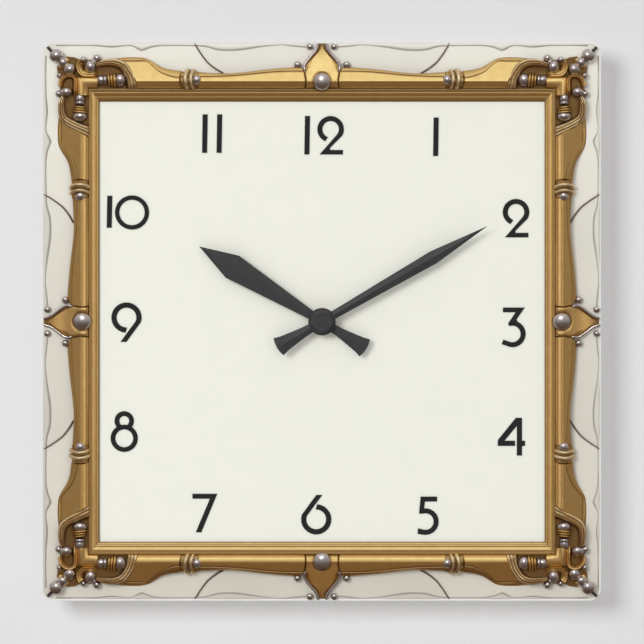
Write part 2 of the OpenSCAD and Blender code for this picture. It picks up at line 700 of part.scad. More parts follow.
train_rear = 1.65;
train_front = plate_z + plate_t - 0.2;
inter_wheel_phase = 0;
inter_pinion_phase = 0;
rotor_phase = mesh_phase(48, inter_wheel_phase, rotor_dir, 8);
seconds_wheel_phase = mesh_phase(12, inter_pinion_phase, inter_dir + 180, 60);
seconds_pinion_phase = 0;
third_wheel_phase = mesh_phase(8, seconds_pinion_phase, third_dir, 60);
third_pinion_phase = 0;
centre_phase = mesh_phase(8, third_pinion_phase, third_dir + 180, 64);
cannon_phase = 0;
motion_wheel_phase = mesh_phase(12, cannon_phase, motion_dir, 36);
motion_pinion_phase = 0;
hour_wheel_phase = mesh_phase(10, motion_pinion_phase, motion_dir + 180, 40);
knob_phase = mesh_phase(36, motion_wheel_phase, knob_dir, 12);

module rotor() color([0.3, 0.3, 0.33]) clock() at(rotor_pos) {
    translate([0, 0, train_rear]) cylinder(r = pin_r, h = train_front - train_rear);
    gear(8, rotor_m, rotor_phase, 3, 1.5);
    translate([0, 0, 4.4]) cylinder(r = 2.9, h = 2.6);
}

module intermediate_wheel() color(white_plastic) clock() at(inter_pos) {
    translate([0, 0, train_rear]) cylinder(r = pin_r, h = train_front - train_rear);
    gear(48, rotor_m, inter_wheel_phase, 3.2, 0.8);
    gear(12, train_m, inter_pinion_phase, 3.9, 1.8);
}

module seconds_wheel() color(white_plastic) clock() {
    translate([0, 0, train_rear]) cylinder(r = pin_r, h = 11);
    gear(60, train_m, seconds_wheel_phase, 4.6, 0.8);
    gear(8, third_m, seconds_pinion_phase, 5.3, 2.5);
}

module third_wheel() color(white_plastic) clock() at(third_pos) {
    translate([0, 0, train_rear]) cylinder(r = pin_r, h = train_front - train_rear);
    gear(60, third_m, third_wheel_phase, 6.6, 0.8);
    gear(8, train_m, third_pinion_phase, 7.3, 2.6);
}

// Centre wheel: driven by the third pinion, and held on the minute arbor by friction.
module centre_wheel() color([0.85, 0.75, 0.4]) clock() difference() {
    union() {
        gear(64, train_m, centre_phase, 8.7, 0.9);
        translate([0, 0, 8.3]) cylinder(r = 2.4, h = 1.6);
    }
    translate([0, 0, 5]) cylinder(r = arbor_r + 0.02, h = 10);
}

module minute_arbor() color(steel) clock() difference() {
    union() {
        translate([0, 0, 8.3]) cylinder(r = arbor_r, h = cap_z + 0.8 - 8.3);
        gear(12, cannon_m, cannon_phase, plate_z + plate_t + 0.3, 1.5);
    }
    translate([0, 0, 5]) cylinder(r = pin_r + run_gap, h = 8.5);
}

module motion_wheel() color(white_plastic) clock() at(motion_pos) {
    translate([0, 0, plate_z + 0.2]) cylinder(r = motion_pin_r, h = 4.4);
    gear(36, cannon_m, motion_wheel_phase, front_in - 2.9, 1);
    gear(10, hour_m, motion_pinion_phase, front_in - 2, 1.8);
}

module hour_wheel() color(white_plastic) clock() difference() {
    union() {
        gear(40, hour_m, hour_wheel_phase, front_in - 1.3, 1);
        translate([0, 0, front_in - 1.3])
            cylinder(r = hour_tube_r, h = hour_hand_z + 1 - front_in + 1.3);
    }
    translate([0, 0, 5]) cylinder(r = arbor_r + run_gap, h = 40);
}

module setting_knob() color(black_plastic) clock() at(knob_pos) {
    translate([0, 0, 0.3]) difference() {
        cylinder(r = 5.5, h = 2.6);
        for (a = [0 : 15 : 345]) rotate(a) translate([5.6, 0, -1]) cylinder(r = 0.35, h = 5);
    }
    translate([0, 0, 0.3]) cylinder(r = knob_shaft_r, h = front_in - 1.5);
    gear(12, cannon_m, knob_phase, front_in - 3.1, 1.4);
    translate([0, 0, front_in - 2]) cylinder(r = motion_pin_r, h = 2.5);
}

back_panel();
dial_plate();
border_lip();
inner_moulding(0);  // inner_moulding_top
inner_moulding(1);  // inner_moulding_right
inner_moulding(2);  // inner_moulding_bottom
inner_moulding(3);  // inner_moulding_left
rail(0);  // rail_top
rail(1);  // rail_right
rail(2);  // rail_bottom
rail(3);  // rail_left
palmette(0);  // palmette_top
palmette(1);  // palmette_right
palmette(2);  // palmette_bottom
palmette(3);  // palmette_left
palmette_rims();
big_beads();
small_beads();
rail_collars();
rail_beads();
hood_ribs();
baluster_rings();
baluster_collars();
corner_plate(0);  // corner_plate_top_right
corner_plate(1);  // corner_plate_bottom_right
corner_plate(2);  // corner_plate_bottom_left
corner_plate(3);  // corner_plate_top_left
corner_knobs();
corner_finials();
dark_wires();
numerals();
hanger();
gasket();
fixing_washer();
fixing_nut();
movement_case();
rear_cover();
middle_plate();
battery_cell();
battery_contacts();
circuit_board();
quartz_crystal();
coil_bobbin();
coil_winding();
stator();
rotor();
intermediate_wheel();
seconds_wheel();
third_wheel();
centre_wheel();
minute_arbor();
motion_wheel();
hour_wheel();
setting_knob();
hour_hand();
hour_hand_collet();
minute_hand();
minute_hand_bush();
hand_cap();
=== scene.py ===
import math

import bmesh
import bpy
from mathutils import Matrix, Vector

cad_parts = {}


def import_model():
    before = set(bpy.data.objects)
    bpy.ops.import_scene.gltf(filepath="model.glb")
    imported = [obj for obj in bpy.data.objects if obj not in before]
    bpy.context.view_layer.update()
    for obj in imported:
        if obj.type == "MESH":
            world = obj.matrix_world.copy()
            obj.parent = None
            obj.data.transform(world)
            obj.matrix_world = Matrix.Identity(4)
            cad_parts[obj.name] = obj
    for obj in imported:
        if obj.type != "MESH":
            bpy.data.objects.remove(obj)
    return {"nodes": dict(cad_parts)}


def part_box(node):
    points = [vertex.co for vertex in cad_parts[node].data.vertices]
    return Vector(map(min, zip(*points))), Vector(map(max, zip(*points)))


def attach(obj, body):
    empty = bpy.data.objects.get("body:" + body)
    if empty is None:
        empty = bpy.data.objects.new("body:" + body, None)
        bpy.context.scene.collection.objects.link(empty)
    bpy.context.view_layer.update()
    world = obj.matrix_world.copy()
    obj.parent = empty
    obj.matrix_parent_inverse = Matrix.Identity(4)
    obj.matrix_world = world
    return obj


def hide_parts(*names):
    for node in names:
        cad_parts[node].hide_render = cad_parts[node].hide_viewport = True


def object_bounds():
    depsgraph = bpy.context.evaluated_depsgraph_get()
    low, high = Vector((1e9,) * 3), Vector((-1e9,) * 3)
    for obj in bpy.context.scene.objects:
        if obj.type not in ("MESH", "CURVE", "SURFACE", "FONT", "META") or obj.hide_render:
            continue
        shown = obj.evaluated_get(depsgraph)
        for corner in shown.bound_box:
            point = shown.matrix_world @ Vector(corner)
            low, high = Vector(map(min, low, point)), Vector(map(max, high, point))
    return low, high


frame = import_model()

# The looks of a square ornate wall clock. Metres, +Z up, the dial faces -Y.
# Tables of the ornament that come in pairs are for (top and bottom, upright sides), and those of
# four values for (top, right, bottom, left).
cad_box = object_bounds()

MM = 0.001
SIDES = ("top", "right", "bottom", "left")
BODY = "clock_body"

panel_low, panel_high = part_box("back_panel")
dial_low, dial_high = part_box("dial_plate")
PANEL_FRONT = panel_low.y
CENTRE_X = (panel_low.x + panel_high.x) / 2
CENTRE_Z = (panel_low.z + panel_high.z) / 2
HALF = (panel_high.x - panel_low.x) / 2 / MM
DRAWN_HALF = 136.5      # the ornament's numbers are millimetres on a panel 273 mm wide
FIT = HALF / DRAWN_HALF
DIAL_HALF_U = (dial_high.x - dial_low.x) / 2 / MM / FIT
DIAL_HALF_V = (dial_high.z - dial_low.z) / 2 / MM / FIT
CORNER_R = 6.0          # radius of the panel's corners
MOULDING_OUT = 113.7    # how far out the inner moulding reaches
BED_H = 1.5             # top of the thin beds under the rails and corners
CUT_H = 2.9             # highest point of a rib where it is cut off against the moulding
ROUND = 64              # points around a large circle


# ---------------- places and curves
def spot(side, u, v, h):
    """A point of the frame: u along a side, v outwards, h above the panel, in millimetres."""
    turn = -math.pi / 2 * side
    x = u * math.cos(turn) - v * math.sin(turn)
    z = u * math.sin(turn) + v * math.cos(turn)
    return Vector((CENTRE_X + x * MM * FIT, PANEL_FRONT - h * MM, CENTRE_Z + z * MM * FIT))


def smooth(points, steps=6):
    """A Catmull-Rom curve through the points."""
    p = [Vector(q) for q in points]
    out = []
    for i in range(len(p) - 1):
        a, b = p[max(i - 1, 0)], p[i]
        c, d = p[i + 1], p[min(i + 2, len(p) - 1)]
        for s in range(steps):
            t = s / steps
            out.append(0.5 * (2 * b + (c - a) * t + (2 * a - 5 * b + 4 * c - d) * t * t
                              + (3 * b - a - 3 * c + d) * t * t * t))
    out.append(p[-1])
    return out


def between(table, x):
    """The value at x of a curve given as (x, value) pairs."""
    if x <= table[0][0]:
        return table[0][1]
    for (x0, y0), (x1, y1) in zip(table, table[1:]):
        if x <= x1:
            t = (x - x0) / (x1 - x0)
            t = t * t * (3 - 2 * t) * 0.35 + t * 0.65
            return y0 + (y1 - y0) * t
    return table[-1][1]


def smooth_table(points):
    """A table for between() that runs smoothly through the points."""
    return [(p.x, p.y) for p in smooth(points, 4)]


def headings(path):
    """The direction of a path at each of its points."""
    last = len(path) - 1
    return [(path[min(i + 1, last)] - path[max(i - 1, 0)]).normalized() for i in range(last + 1)]


def normals_of(path):
    """The left-hand normal at each point of a flat path."""
    return [Vector((-d.y, d.x)) for d in headings(path)]


def around(count):
    """The angles of points spread evenly around a circle."""
    return [2 * math.pi * k / count for k in range(count)]


# ---------------- meshes
class Shape:
    """Points, faces and a darkening for each point, of patina and painted shade: 0 is clean, 1 a dark
    recess.
    """

    def __init__(self):
        self.points = []
        self.patina_and_shade = []
        self.faces = []

    def loft(self, rows, caps=True):
        """Skins closed rows of (place, patina and painted shade) pairs that all have the same count."""
        made = []
        for row in rows:
            first = len(self.points)
            self.points += [p for p, _ in row]
            self.patina_and_shade += [t for _, t in row]
            made.append(range(first, len(self.points)))
        for a, b in zip(made, made[1:]):
            for k in range(len(a)):
                m = (k + 1) % len(a)
                self.faces.append((a[k], a[m], b[m], b[k]))
        if caps:
            self.faces.append(tuple(reversed(made[0])))
            self.faces.append(tuple(made[-1]))

    def skin(self, side, sign, rows):
        """Skins rows of (u, v, h, patina and painted shade) on a side of the frame; a sign of -1 mirrors
        them.
        """
        self.loft([[(spot(side, sign * u, v, h), dark) for u, v, h, dark in row] for row in rows])


# The pieces that a light glints on, by material.
LIT_AS = {"gold_leaf": [], "pale_gold_leaf": [], "silver_leaf": [], "charcoal_coat": []}


def build(name, shape, material, replaces=(), sharp=38, body=BODY):
    """Turns a shape into a piece of the clock."""
    mesh = bpy.data.meshes.new(name)
    mesh.from_pydata([tuple(p) for p in shape.points], [], shape.faces)
    layer = mesh.attributes.new("patina_and_shade", "FLOAT", "POINT")
    layer.data.foreach_set("value", shape.patina_and_shade)
    bm = bmesh.new()
    bm.from_mesh(mesh)
    bmesh.ops.recalc_face_normals(bm, faces=bm.faces)
    bm.to_mesh(mesh)
    bm.free()
    mesh.shade_smooth()
    mesh.set_sharp_from_angle(angle=math.radians(sharp))
    mesh.materials.append(material)
    piece = bpy.data.objects.new(name, mesh)
    bpy.context.scene.collection.objects.link(piece)
    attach(piece, body)
    LIT_AS.get(material.name, []).append(piece)
    if replaces:
        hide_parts(*replaces)
    return piece


def sweep(shape, side, sign, path, profile, scale=lambda t: 1.0, lift=lambda t: 1.0, stop=None):
    """Sweeps a closed profile of (offset, height, patina and painted shade) along a flat path.

    scale and lift stretch its offsets and heights, by the share of the length. With a stop,
    whatever would reach nearer the dial than that v is cut off there."""
    count = len(path) - 1
    rows = []
    for i, (p, n) in enumerate(zip(path, normals_of(path))):
        s = scale(i / count)
        k = lift(i / count)
        row = []
        for d, h, dark in profile:
            u, v, h = p.x + n.x * d * s, p.y + n.y * d * s, h * k
            if stop and v < stop:
                v, h = stop, min(h, CUT_H)
            row.append((u, v, h, dark))
        rows.append(row)
    shape.skin(side, sign, rows)


def tube(shape, side, sign, path, radius, squash=1.0, sides=14, patina_and_shade=0.0):
    """A round bar along a path of (u, v, h); radius is a function of its share of the length."""
    points = [Vector(p) for p in path]
    rows = []
    for i, (p, d) in enumerate(zip(points, headings(points))):
        across = Vector((-d.y, d.x, 0))
        across = across.normalized() if across.length > 1e-6 else Vector((0, 1, 0))
        up = d.cross(across)
        up = up if up.z > 0 else -up
        r = radius(i / (len(points) - 1))
        ring = []
        for a in around(sides):
            q = p + across * (r * math.cos(a)) + up * (r * squash * math.sin(a))
            # painted shade: each bar darkens on its half towards the panel
            ring.append((*q, patina_and_shade + (1 - patina_and_shade) * max(0.0, -math.sin(a)) ** 0.5))
        rows.append(ring)
    shape.skin(side, sign, rows)


def turned(shape, side, sign, axis_v, axis_h, profile, sides=28, flat=1.0, bow=0.0):
    """A turned bar whose axis runs along the side; profile holds (u, radius, patina and painted shade).

    flat squashes its height, and bow curves its rings along the side."""
    rows = []
    for u, r, dark in profile:
        ring = []
        for a in around(sides):
            lean = bow * r * (1 - math.cos(a))
            ring.append((u - lean, axis_v + r * math.cos(a), axis_h + r * flat * math.sin(a), dark))
        rows.append(ring)
    shape.skin(side, sign, rows)


def rounded(u0, r0, u1, r1, bulge, steps=6, patina_and_shade=0.0):
    """Profile points of a bead between two places of a turned bar."""
    out = []
    for i in range(steps + 1):
        t = i / steps
        arch = math.sin(math.pi * t) ** 0.6
        # painted shade: each bead darkens towards its ends, where it meets the next
        out.append((u0 + (u1 - u0) * t, r0 + (r1 - r0) * t + bulge * arch, patina_and_shade + 0.8 * (1 - arch)))
    return out


def pearl(shape, side, u, v, r, seat, top, stretch=1.0, angle=0.0, sides=36):
    """A polished bead in a thin collar, from its seat to its top; stretch makes it egg-shaped."""
    centre_h = seat + (top - seat) * 0.3
    rise = top - centre_h
    # painted shade: the collar and the bead's foot are dark, and it lightens towards its top
    profile = [(r * 1.04, seat - 1.2, 1.0), (r * 1.04, seat + 0.05, 1.0), (r * 0.99, seat + 0.25, 0.8),
               (r * 0.9, seat + 0.25, 1.0)]
    steps = 14
    for i in range(1, steps + 1):
        a = math.radians(-28 + 118 * i / steps)
        profile.append((r * math.cos(a), centre_h + rise * math.sin(a), max(0.0, 0.9 - 0.35 * i)))
    rows = []
    for radius, h, dark in profile:
        ring = []
        for a in around(sides):
            x, y = radius * stretch * math.cos(a), radius * math.sin(a)
            if stretch > 1 and x > 0:
                y *= 1 - 0.22 * x / (r * stretch)
            ring.append((u + x * math.cos(angle) - y * math.sin(angle),
                         v + x * math.sin(angle) + y * math.cos(angle), h, dark))
        rows.append(ring)
    shape.skin(side, 1, rows)


def edge_of(side):
    """How far out the ornament reaches: a little less far on the right and the bottom, beside the white
    strip there.
    """
    return 136.0 if side in (0, 3) else 135.45


def each_half():
    """Every half side: its side number and the sign of u."""
    return [(side, sign) for side in range(4) for sign in (1, -1)]


# ---------------- materials
def nodes_for(name):
    material = bpy.data.materials.new(name)
    material.use_nodes = True
    tree = material.node_tree
    return material, tree, tree.nodes["Principled BSDF"]


def feed(tree, socket, value):
    """Sets an input to another node's output, a number or a colour."""
    if isinstance(value, bpy.types.NodeSocket):
        tree.links.new(value, socket)
    elif isinstance(value, tuple):
        socket.default_value = (*value, 1)
    else:
        socket.default_value = value


def set_inputs(tree, target, inputs):
    for name, value in inputs.items():
        feed(tree, target.inputs[name], value)


def node(tree, kind, inputs):
    """Adds a node and sets its inputs."""
    made = tree.nodes.new(f"ShaderNode{kind}")
    set_inputs(tree, made, inputs)
    return made


def object_place(tree):
    return tree.nodes.new("ShaderNodeTexCoord").outputs["Object"]


def noise_node(tree, scale, detail=4.0, rough=0.55):
    inputs = {"Vector": object_place(tree), "Scale": scale, "Detail": detail, "Roughness": rough}
    return node(tree, "TexNoise", inputs).outputs["Fac"]


def ramp_node(tree, source, stops):
    ramp = node(tree, "ValToRGB", {"Fac": source})
    while len(ramp.color_ramp.elements) < len(stops):
        ramp.color_ramp.elements.new(0.5)
    for element, (place, colour) in zip(ramp.color_ramp.elements, stops):
        element.position = place
        element.color = (*colour, 1)
    return ramp.outputs["Color"]


def mix_node(tree, share, a, b):
    mix = tree.nodes.new("ShaderNodeMix")
    mix.data_type = "RGBA"
    set_inputs(tree, mix, {"Factor": share, "A": a, "B": b})
    return mix.outputs["Result"]


def span_node(tree, source, low, high, new_low, new_high):
    inputs = {"Value": source, "From Min": low, "From Max": high, "To Min": new_low, "To Max": new_high}
    return node(tree, "MapRange", inputs).outputs["Result"]


def math_node(tree, kind, a, b):
    made = node(tree, "Math", {0: a, 1: b})
    made.operation = kind
    return made.outputs["Value"]


def bump_node(tree, shader, height, strength, distance):
    bump = node(tree, "Bump", {"Strength": strength, "Distance": distance, "Height": height})
    set_inputs(tree, shader, {"Normal": bump.outputs["Normal"]})


def patina_and_shade_node(tree):
    attribute = tree.nodes.new("ShaderNodeAttribute")
    attribute.attribute_name = "patina_and_shade"
    return attribute.outputs["Fac"]


def leaf_metal(name, clean, warm, dark, rough_low, rough_high):
    """Metal leaf over a cast relief: mottled, with patina and painted shade darkening its recesses, the
    undersides of its bars and where it meets other pieces.
    """
    material, tree, shader = nodes_for(name)
    cloud = noise_node(tree, 260, 5)
    speck = noise_node(tree, 2200, 3, 0.65)
    colour = mix_node(tree, span_node(tree, cloud, 0.3, 0.75, 0, 1), clean, warm)
    # patina and painted shade: the leaf darkens where the per-point darkening is high
    depth = math_node(tree, "POWER", patina_and_shade_node(tree), 1.35)
    grime_and_shade = math_node(tree, "MULTIPLY", depth, span_node(tree, speck, 0.25, 0.7, 0.7, 1.0))
    colour = mix_node(tree, grime_and_shade, colour, dark)
    rough = span_node(tree, cloud, 0.3, 0.7, rough_low, rough_high)
    rough = math_node(tree, "ADD", rough, math_node(tree, "MULTIPLY", depth, 0.22))
    set_inputs(tree, shader, {"Base Color": colour, "Metallic": 1.0, "Roughness": rough})
    bump_node(tree, shader, speck, 0.12, 0.0002)
    return material


def lacquer(name, top, bottom, dark, rough, coat):
    """Ivory lacquer with painted light: lighter at the top and darker towards its lower edge."""
    material, tree, shader = nodes_for(name)
    split = node(tree, "SeparateXYZ", {"Vector": object_place(tree)})
    height = span_node(tree, split.outputs["Z"], panel_low.z, panel_high.z, 0, 1)
    cloud = noise_node(tree, 38, 4)
    wave = math_node(tree, "MULTIPLY", math_node(tree, "SUBTRACT", cloud, 0.5), 0.35)
    # painted light: lighter at the top, darker towards the bottom, with a little random cloud
    colour = mix_node(tree, math_node(tree, "ADD", height, wave), bottom, top)
    colour = mix_node(tree, math_node(tree, "MULTIPLY", patina_and_shade_node(tree), 0.85), colour, dark)
    rough = span_node(tree, cloud, 0.3, 0.7, rough - 0.05, rough + 0.07)
    set_inputs(tree, shader, {"Base Color": colour, "Roughness": rough, "Coat Weight": coat,
                              "Coat Roughness": 0.25})
    bump_node(tree, shader, noise_node(tree, 900, 3), 0.08, 0.0001)
    return material


def plain(tree, shader, cloud, base, other, grain, rough, roughest, metallic, bump):
    """Mixes two close colours by the cloud, and puts the grain in the roughness and the bump."""
    colour = mix_node(tree, span_node(tree, cloud, 0.35, 0.65, 0, 1), base, other)
    rough = span_node(tree, grain, 0.3, 0.7, rough - 0.06, roughest)
    set_inputs(tree, shader, {"Base Color": colour, "Roughness": rough, "Metallic": metallic})
    bump_node(tree, shader, grain, bump, 0.0001)


def moulded(name, base, other, rough, grain, bump, metallic=0.0):
    """Any plain material with a fine grain: moulded plastic, card, ink, rubber or magnet."""
    material, tree, shader = nodes_for(name)
    fine = noise_node(tree, grain, 4, 0.6)
    cloud = noise_node(tree, grain / 14, 3)
    plain(tree, shader, cloud, base, other, fine, rough, rough + 0.08, metallic, bump)
    return material


def brushed(name, base, other, rough, stretch):
    """Plain metal with fine lines along one direction."""
    material, tree, shader = nodes_for(name)
    scale = node(tree, "Mapping", {"Vector": object_place(tree)})
    scale.inputs["Scale"].default_value = stretch
    inputs = {"Vector": scale.outputs["Vector"], "Scale": 900, "Detail": 3}
    fac = node(tree, "TexNoise", inputs).outputs["Fac"]
    plain(tree, shader, fac, base, other, fac, rough, rough + 0.1, 1.0, 0.1)
    return material


GOLD = leaf_metal("gold_leaf", (0.86, 0.56, 0.215), (0.81, 0.495, 0.175), (0.14, 0.058, 0.022),
                  0.29, 0.34)
PALE_GOLD = leaf_metal("pale_gold_leaf", (0.89, 0.70, 0.42), (0.80, 0.58, 0.32), (0.13, 0.06, 0.032),
                       0.3, 0.37)
SILVER = leaf_metal("silver_leaf", (0.68, 0.62, 0.61), (0.58, 0.52, 0.515), (0.055, 0.040, 0.036),
                    0.25, 0.33)
WIRE = leaf_metal("bronze_wire", (0.50, 0.42, 0.36), (0.38, 0.31, 0.26), (0.06, 0.05, 0.04), 0.42, 0.55)
PIN = leaf_metal("dark_pin", (0.17, 0.15, 0.14), (0.12, 0.10, 0.10), (0.03, 0.025, 0.02), 0.38, 0.5)
IVORY = lacquer("ivory_lacquer", (0.84, 0.825, 0.74), (0.66, 0.63, 0.55), (0.30, 0.28, 0.24), 0.42, 0.12)
WHITE_BOARD = moulded("white_board", (0.86, 0.86, 0.85), (0.82, 0.82, 0.81), 0.5, 1400, 0.1)
DIAL = moulded("dial_card", (0.86, 0.868, 0.79), (0.848, 0.858, 0.777), 0.42, 1500, 0.04)
INK = moulded("numeral_ink", (0.012, 0.012, 0.012), (0.016, 0.016, 0.016), 0.45, 1600, 0.05)
CHARCOAL = moulded("charcoal_coat", (0.036, 0.036, 0.038), (0.03, 0.03, 0.032), 0.46, 2600, 0.12)
BRASS = brushed("turned_brass", (0.75, 0.52, 0.20), (0.62, 0.42, 0.15), 0.28, (1, 6, 1))
STEEL = brushed("stamped_steel", (0.60, 0.61, 0.63), (0.50, 0.51, 0.53), 0.32, (8, 1, 1))
MAGNET = moulded("sintered_magnet", (0.16, 0.16, 0.17), (0.10, 0.10, 0.11), 0.5, 2500, 0.3, 0.6)
RUBBER = moulded("rubber", (0.022, 0.022, 0.022), (0.03, 0.03, 0.03), 0.75, 1800, 0.3)
CASE = moulded("case_plastic", (0.026, 0.026, 0.028), (0.034, 0.034, 0.036), 0.5, 2600, 0.28)
WHITE_PLASTIC = moulded("white_acetal", (0.78, 0.78, 0.74), (0.72, 0.72, 0.68), 0.42, 1500, 0.1)
AMBER_PLASTIC = moulded("amber_acetal", (0.62, 0.42, 0.12), (0.55, 0.36, 0.1), 0.4, 1500, 0.1)
BOARD = moulded("solder_mask", (0.02, 0.15, 0.06), (0.025, 0.19, 0.08), 0.3, 900, 0.15)
COPPER = brushed("copper_winding", (0.55, 0.22, 0.09), (0.38, 0.14, 0.05), 0.34, (10, 1, 1))
SLEEVE = moulded("cell_sleeve", (0.03, 0.12, 0.07), (0.025, 0.1, 0.06), 0.3, 1200, 0.06)


# ---------------- panel and border
HOLE_R = 4.1            # the hole in the board that the movement's shaft passes through
WHITE_STRIP = 1.4         # width of the white strip along the right and the bottom edges


def square_outline(inset, steps=8):
    """The panel's rounded outline, as (x, y) points that run clockwise from the top left."""
    points = []
    r = max(CORNER_R - inset, 0.5)
    reach = HALF / FIT - inset - r
    for corner, (cx, cy) in enumerate(((1, 1), (1, -1), (-1, -1), (-1, 1))):
        for k in range(steps + 1):
            a = math.pi / 2 - math.pi / 2 * (corner + k / steps)
            points.append((cx * reach + r * math.cos(a), cy * reach + r * math.sin(a)))
    return points


def panel():
    """The ivory board, with a white strip along its right and bottom edges."""
    shape = Shape()
    thick = (panel_high.y - panel_low.y) / MM
    count = len(square_outline(0))
    hole = []
    for x, y in square_outline(0):
        a = math.atan2(y, x)
        hole.append((HOLE_R * math.cos(a), HOLE_R * math.sin(a)))
    levels = ((None, 0, 0), (1.9, 0, 0), (1.1, 0, 0.22), (0.95, 0, 0.25), (0.4, -0.06, 0.2),
              (0.12, -0.2, 0.1), (0, -0.5, 0), (0, 0.4 - thick, 0), (0.4, -thick, 0), (None, -thick, 0))
    rows = []
    for inset, h, dark in levels:
        outline = hole if inset is None else square_outline(inset)
        rows.append([(spot(0, u, v, h), dark) for u, v in outline])
    shape.loft(rows + rows[:1], caps=False)
    piece = build("ivory_panel", shape, IVORY, ["back_panel"])
    piece.data.materials.append(WHITE_BOARD)
    for face in piece.data.polygons:
        band = face.index // count
        x, z = face.center.x - CENTRE_X, face.center.z - CENTRE_Z
        right_or_bottom = max(x, -z) > (HALF - WHITE_STRIP) * MM
        if band >= 6 or (band >= 3 and right_or_bottom):
            face.material_index = 1


# The lip's inner edge, as (u, v).
LIP_LINE = [
    (7.9, 134.2), (15, 134.9), (20, 135.3), (30, 134.4), (40, 132.9), (46, 132.5), (51, 132.9),
    (57, 134.6), (65, 134.9), (78, 135.0), (83, 134.4), (86, 133.2), (88, 132.6), (90, 133.4),
    (94, 135.0), (102.5, 134.3), (110, 135.0), (117, 135.0), (124, 135.1), (130, 135.0)
]
LIP_DARKENING = (0.12, 0.24, 0.42, 0.48)      # how much darker the lip is on each side


def border_lip():
    """The raised, wavy lip along the panel's edge, and the dark cord at its foot."""
    shape = Shape()
    line = smooth(LIP_LINE, 5)
    for side, sign in each_half():
        darkening = LIP_DARKENING[side]
        rows = []
        for i, p in enumerate(line):
            fade = min(1.0, i / 5, (len(line) - 1 - i) / 5)
            edge = edge_of(side) - max(0.0, p.x - 129) ** 2 * 0.1
            wide = edge - p.y
            h = max(0.04, min(0.8, wide * 0.55) * fade)
            section = ((0, -0.2, 1), (0, 0.05 * h, 1), (0.12, 0.55 * h, 0.8), (0.3, 0.9 * h, 0.3),
                       (0.6, h, darkening * 0.6), (0.96, 0.85 * h, darkening), (1, -0.2, darkening))
            rows.append([(p.x, p.y + wide * t, z, dark) for t, z, dark in section])
        shape.skin(side, sign, rows)
        cord = [(p.x, p.y, 0.12) for p in line]
        tube(shape, side, sign, cord, lambda t: 0.26 + 0.09 * math.sin(40 * t), 0.9, 8, patina_and_shade=1.0)
    build("ivory_border_lip", shape, IVORY, ["border_lip"], sharp=60)


def cartouches():
    """Slightly greyer inlays between the arc wires, the rails and the palmettes."""
    shape = Shape()
    arc = smooth(ARC_LINE, 4)
    lip = [p for p in smooth(LIP_LINE, 3) if p.x < 58]
    for side, sign in each_half():
        outline = [(u, between(MID_EDGE, u) - 0.3) for u in range(10, 49, 3)]
        outline += [(p.x - 0.2, p.y) for p in reversed(arc) if p.y < 133.6]
        outline += [(p.x, p.y) for p in reversed(lip)] + [(5.6, 131), (7.6, 128.4), (9.0, 126)]
        shape.skin(side, sign, [[(u, v, h, 0.12) for u, v in outline] for h in (-0.1, 0.1)])
    build("ivory_cartouches", shape, IVORY)


# ---------------- inner moulding
# Across the moulding from the dial outwards: share of its width, height, and patina with painted shade in
# its grooves.
MOULDING = [
    (0.0, 0.2, 1), (0.0, 1.9, 1), (0.03, 2.15, 0.9), (0.07, 2.25, 0.75), (0.11, 2.36, 0.2),
    (0.2, 2.5, 0.1), (0.23, 2.52, 0.4), (0.26, 2.54, 0.5), (0.29, 2.7, 0.2), (0.32, 2.78, 0.12),
    (0.34, 2.77, 0.12), (0.38, 2.71, 0.3), (0.41, 2.75, 0.35), (0.44, 2.81, 0.05), (0.62, 3.17, 0),
    (0.65, 3.22, 0), (0.68, 3.22, 0.1), (0.73, 3.14, 0.4), (0.78, 3.17, 0.4), (0.92, 3.3, 0.25),
    (0.97, 3.28, 0.35), (1.0, 3.2, 0.5), (1.0, 0.2, 1)
]
SHADED = 0.75           # beyond this share of its width the moulding is painted darker, as shade beside the rail
RAIL_SHADE = (0.4, 0.1, 0.0, 0.1)       # by how much


def inner_moulding(side):
    shape = Shape()
    inner_v, inner_u = (DIAL_HALF_V, DIAL_HALF_U) if side % 2 == 0 else (DIAL_HALF_U, DIAL_HALF_V)
    rows = []
    for share in [-1 + 2 * k / 24 for k in range(25)]:
        row = []
        for t, h, dark in MOULDING:
            u_end = inner_u + (MOULDING_OUT - inner_u) * t
            dark = min(1.0, dark + (RAIL_SHADE[side] if t > SHADED else 0))
            row.append((share * u_end, inner_v + (MOULDING_OUT - inner_v) * t, h, dark))
        rows.append(row)
    shape.skin(side, 1, rows)
    build(f"gilt_moulding_{SIDES[side]}", shape, GOLD,
          [f"inner_moulding_{SIDES[side]}"], sharp=50)


# ---------------- rails
# A rail's outer edge, and the line between its flat and its rim, as (u, v): first the stretch
# beside the palmette, then the stretch at the corner.
MID_EDGE = smooth_table([
    (8.8, 123.2), (11, 124.3), (20, 123.8), (30, 122.8), (40, 121.6), (48, 121.2), (61, 121.9)
])
MID_LINE = smooth_table([(8.8, 122.3), (20, 122.2), (30, 121.4), (40, 120.4), (50, 119.8), (61, 119.6)])
END_EDGE = smooth_table([
    (68.6, 122.5), (73, 123.0), (77, 123.9), (79.5, 125.0), (82, 126.6), (84.5, 128.1), (86.5, 128.8),
    (90, 129.2), (95, 129.2), (99, 128.9), (102, 128.5)
])
END_LINE = smooth_table([
    (68.6, 119.0), (73, 119.7), (77, 121.0), (79.5, 122.2), (82, 124.2), (84.6, 126.6), (86, 127.4),
    (88, 127.5), (92, 127.4), (102, 127.4)
])
RIDGE_V = 117.35        # the ridge between a rail's quarter round and its flat
RIDGE_H = 5.52
RAIL_LEAN = (0.42, 0.48)    # how steeply the flats fall outwards
RIM_LEAN = 0.47             # how steeply the rims fall outwards
RIM_SHADE = (0.0, 0.28, 0.3, 0.28)     # how much darker the rims are painted, as shade
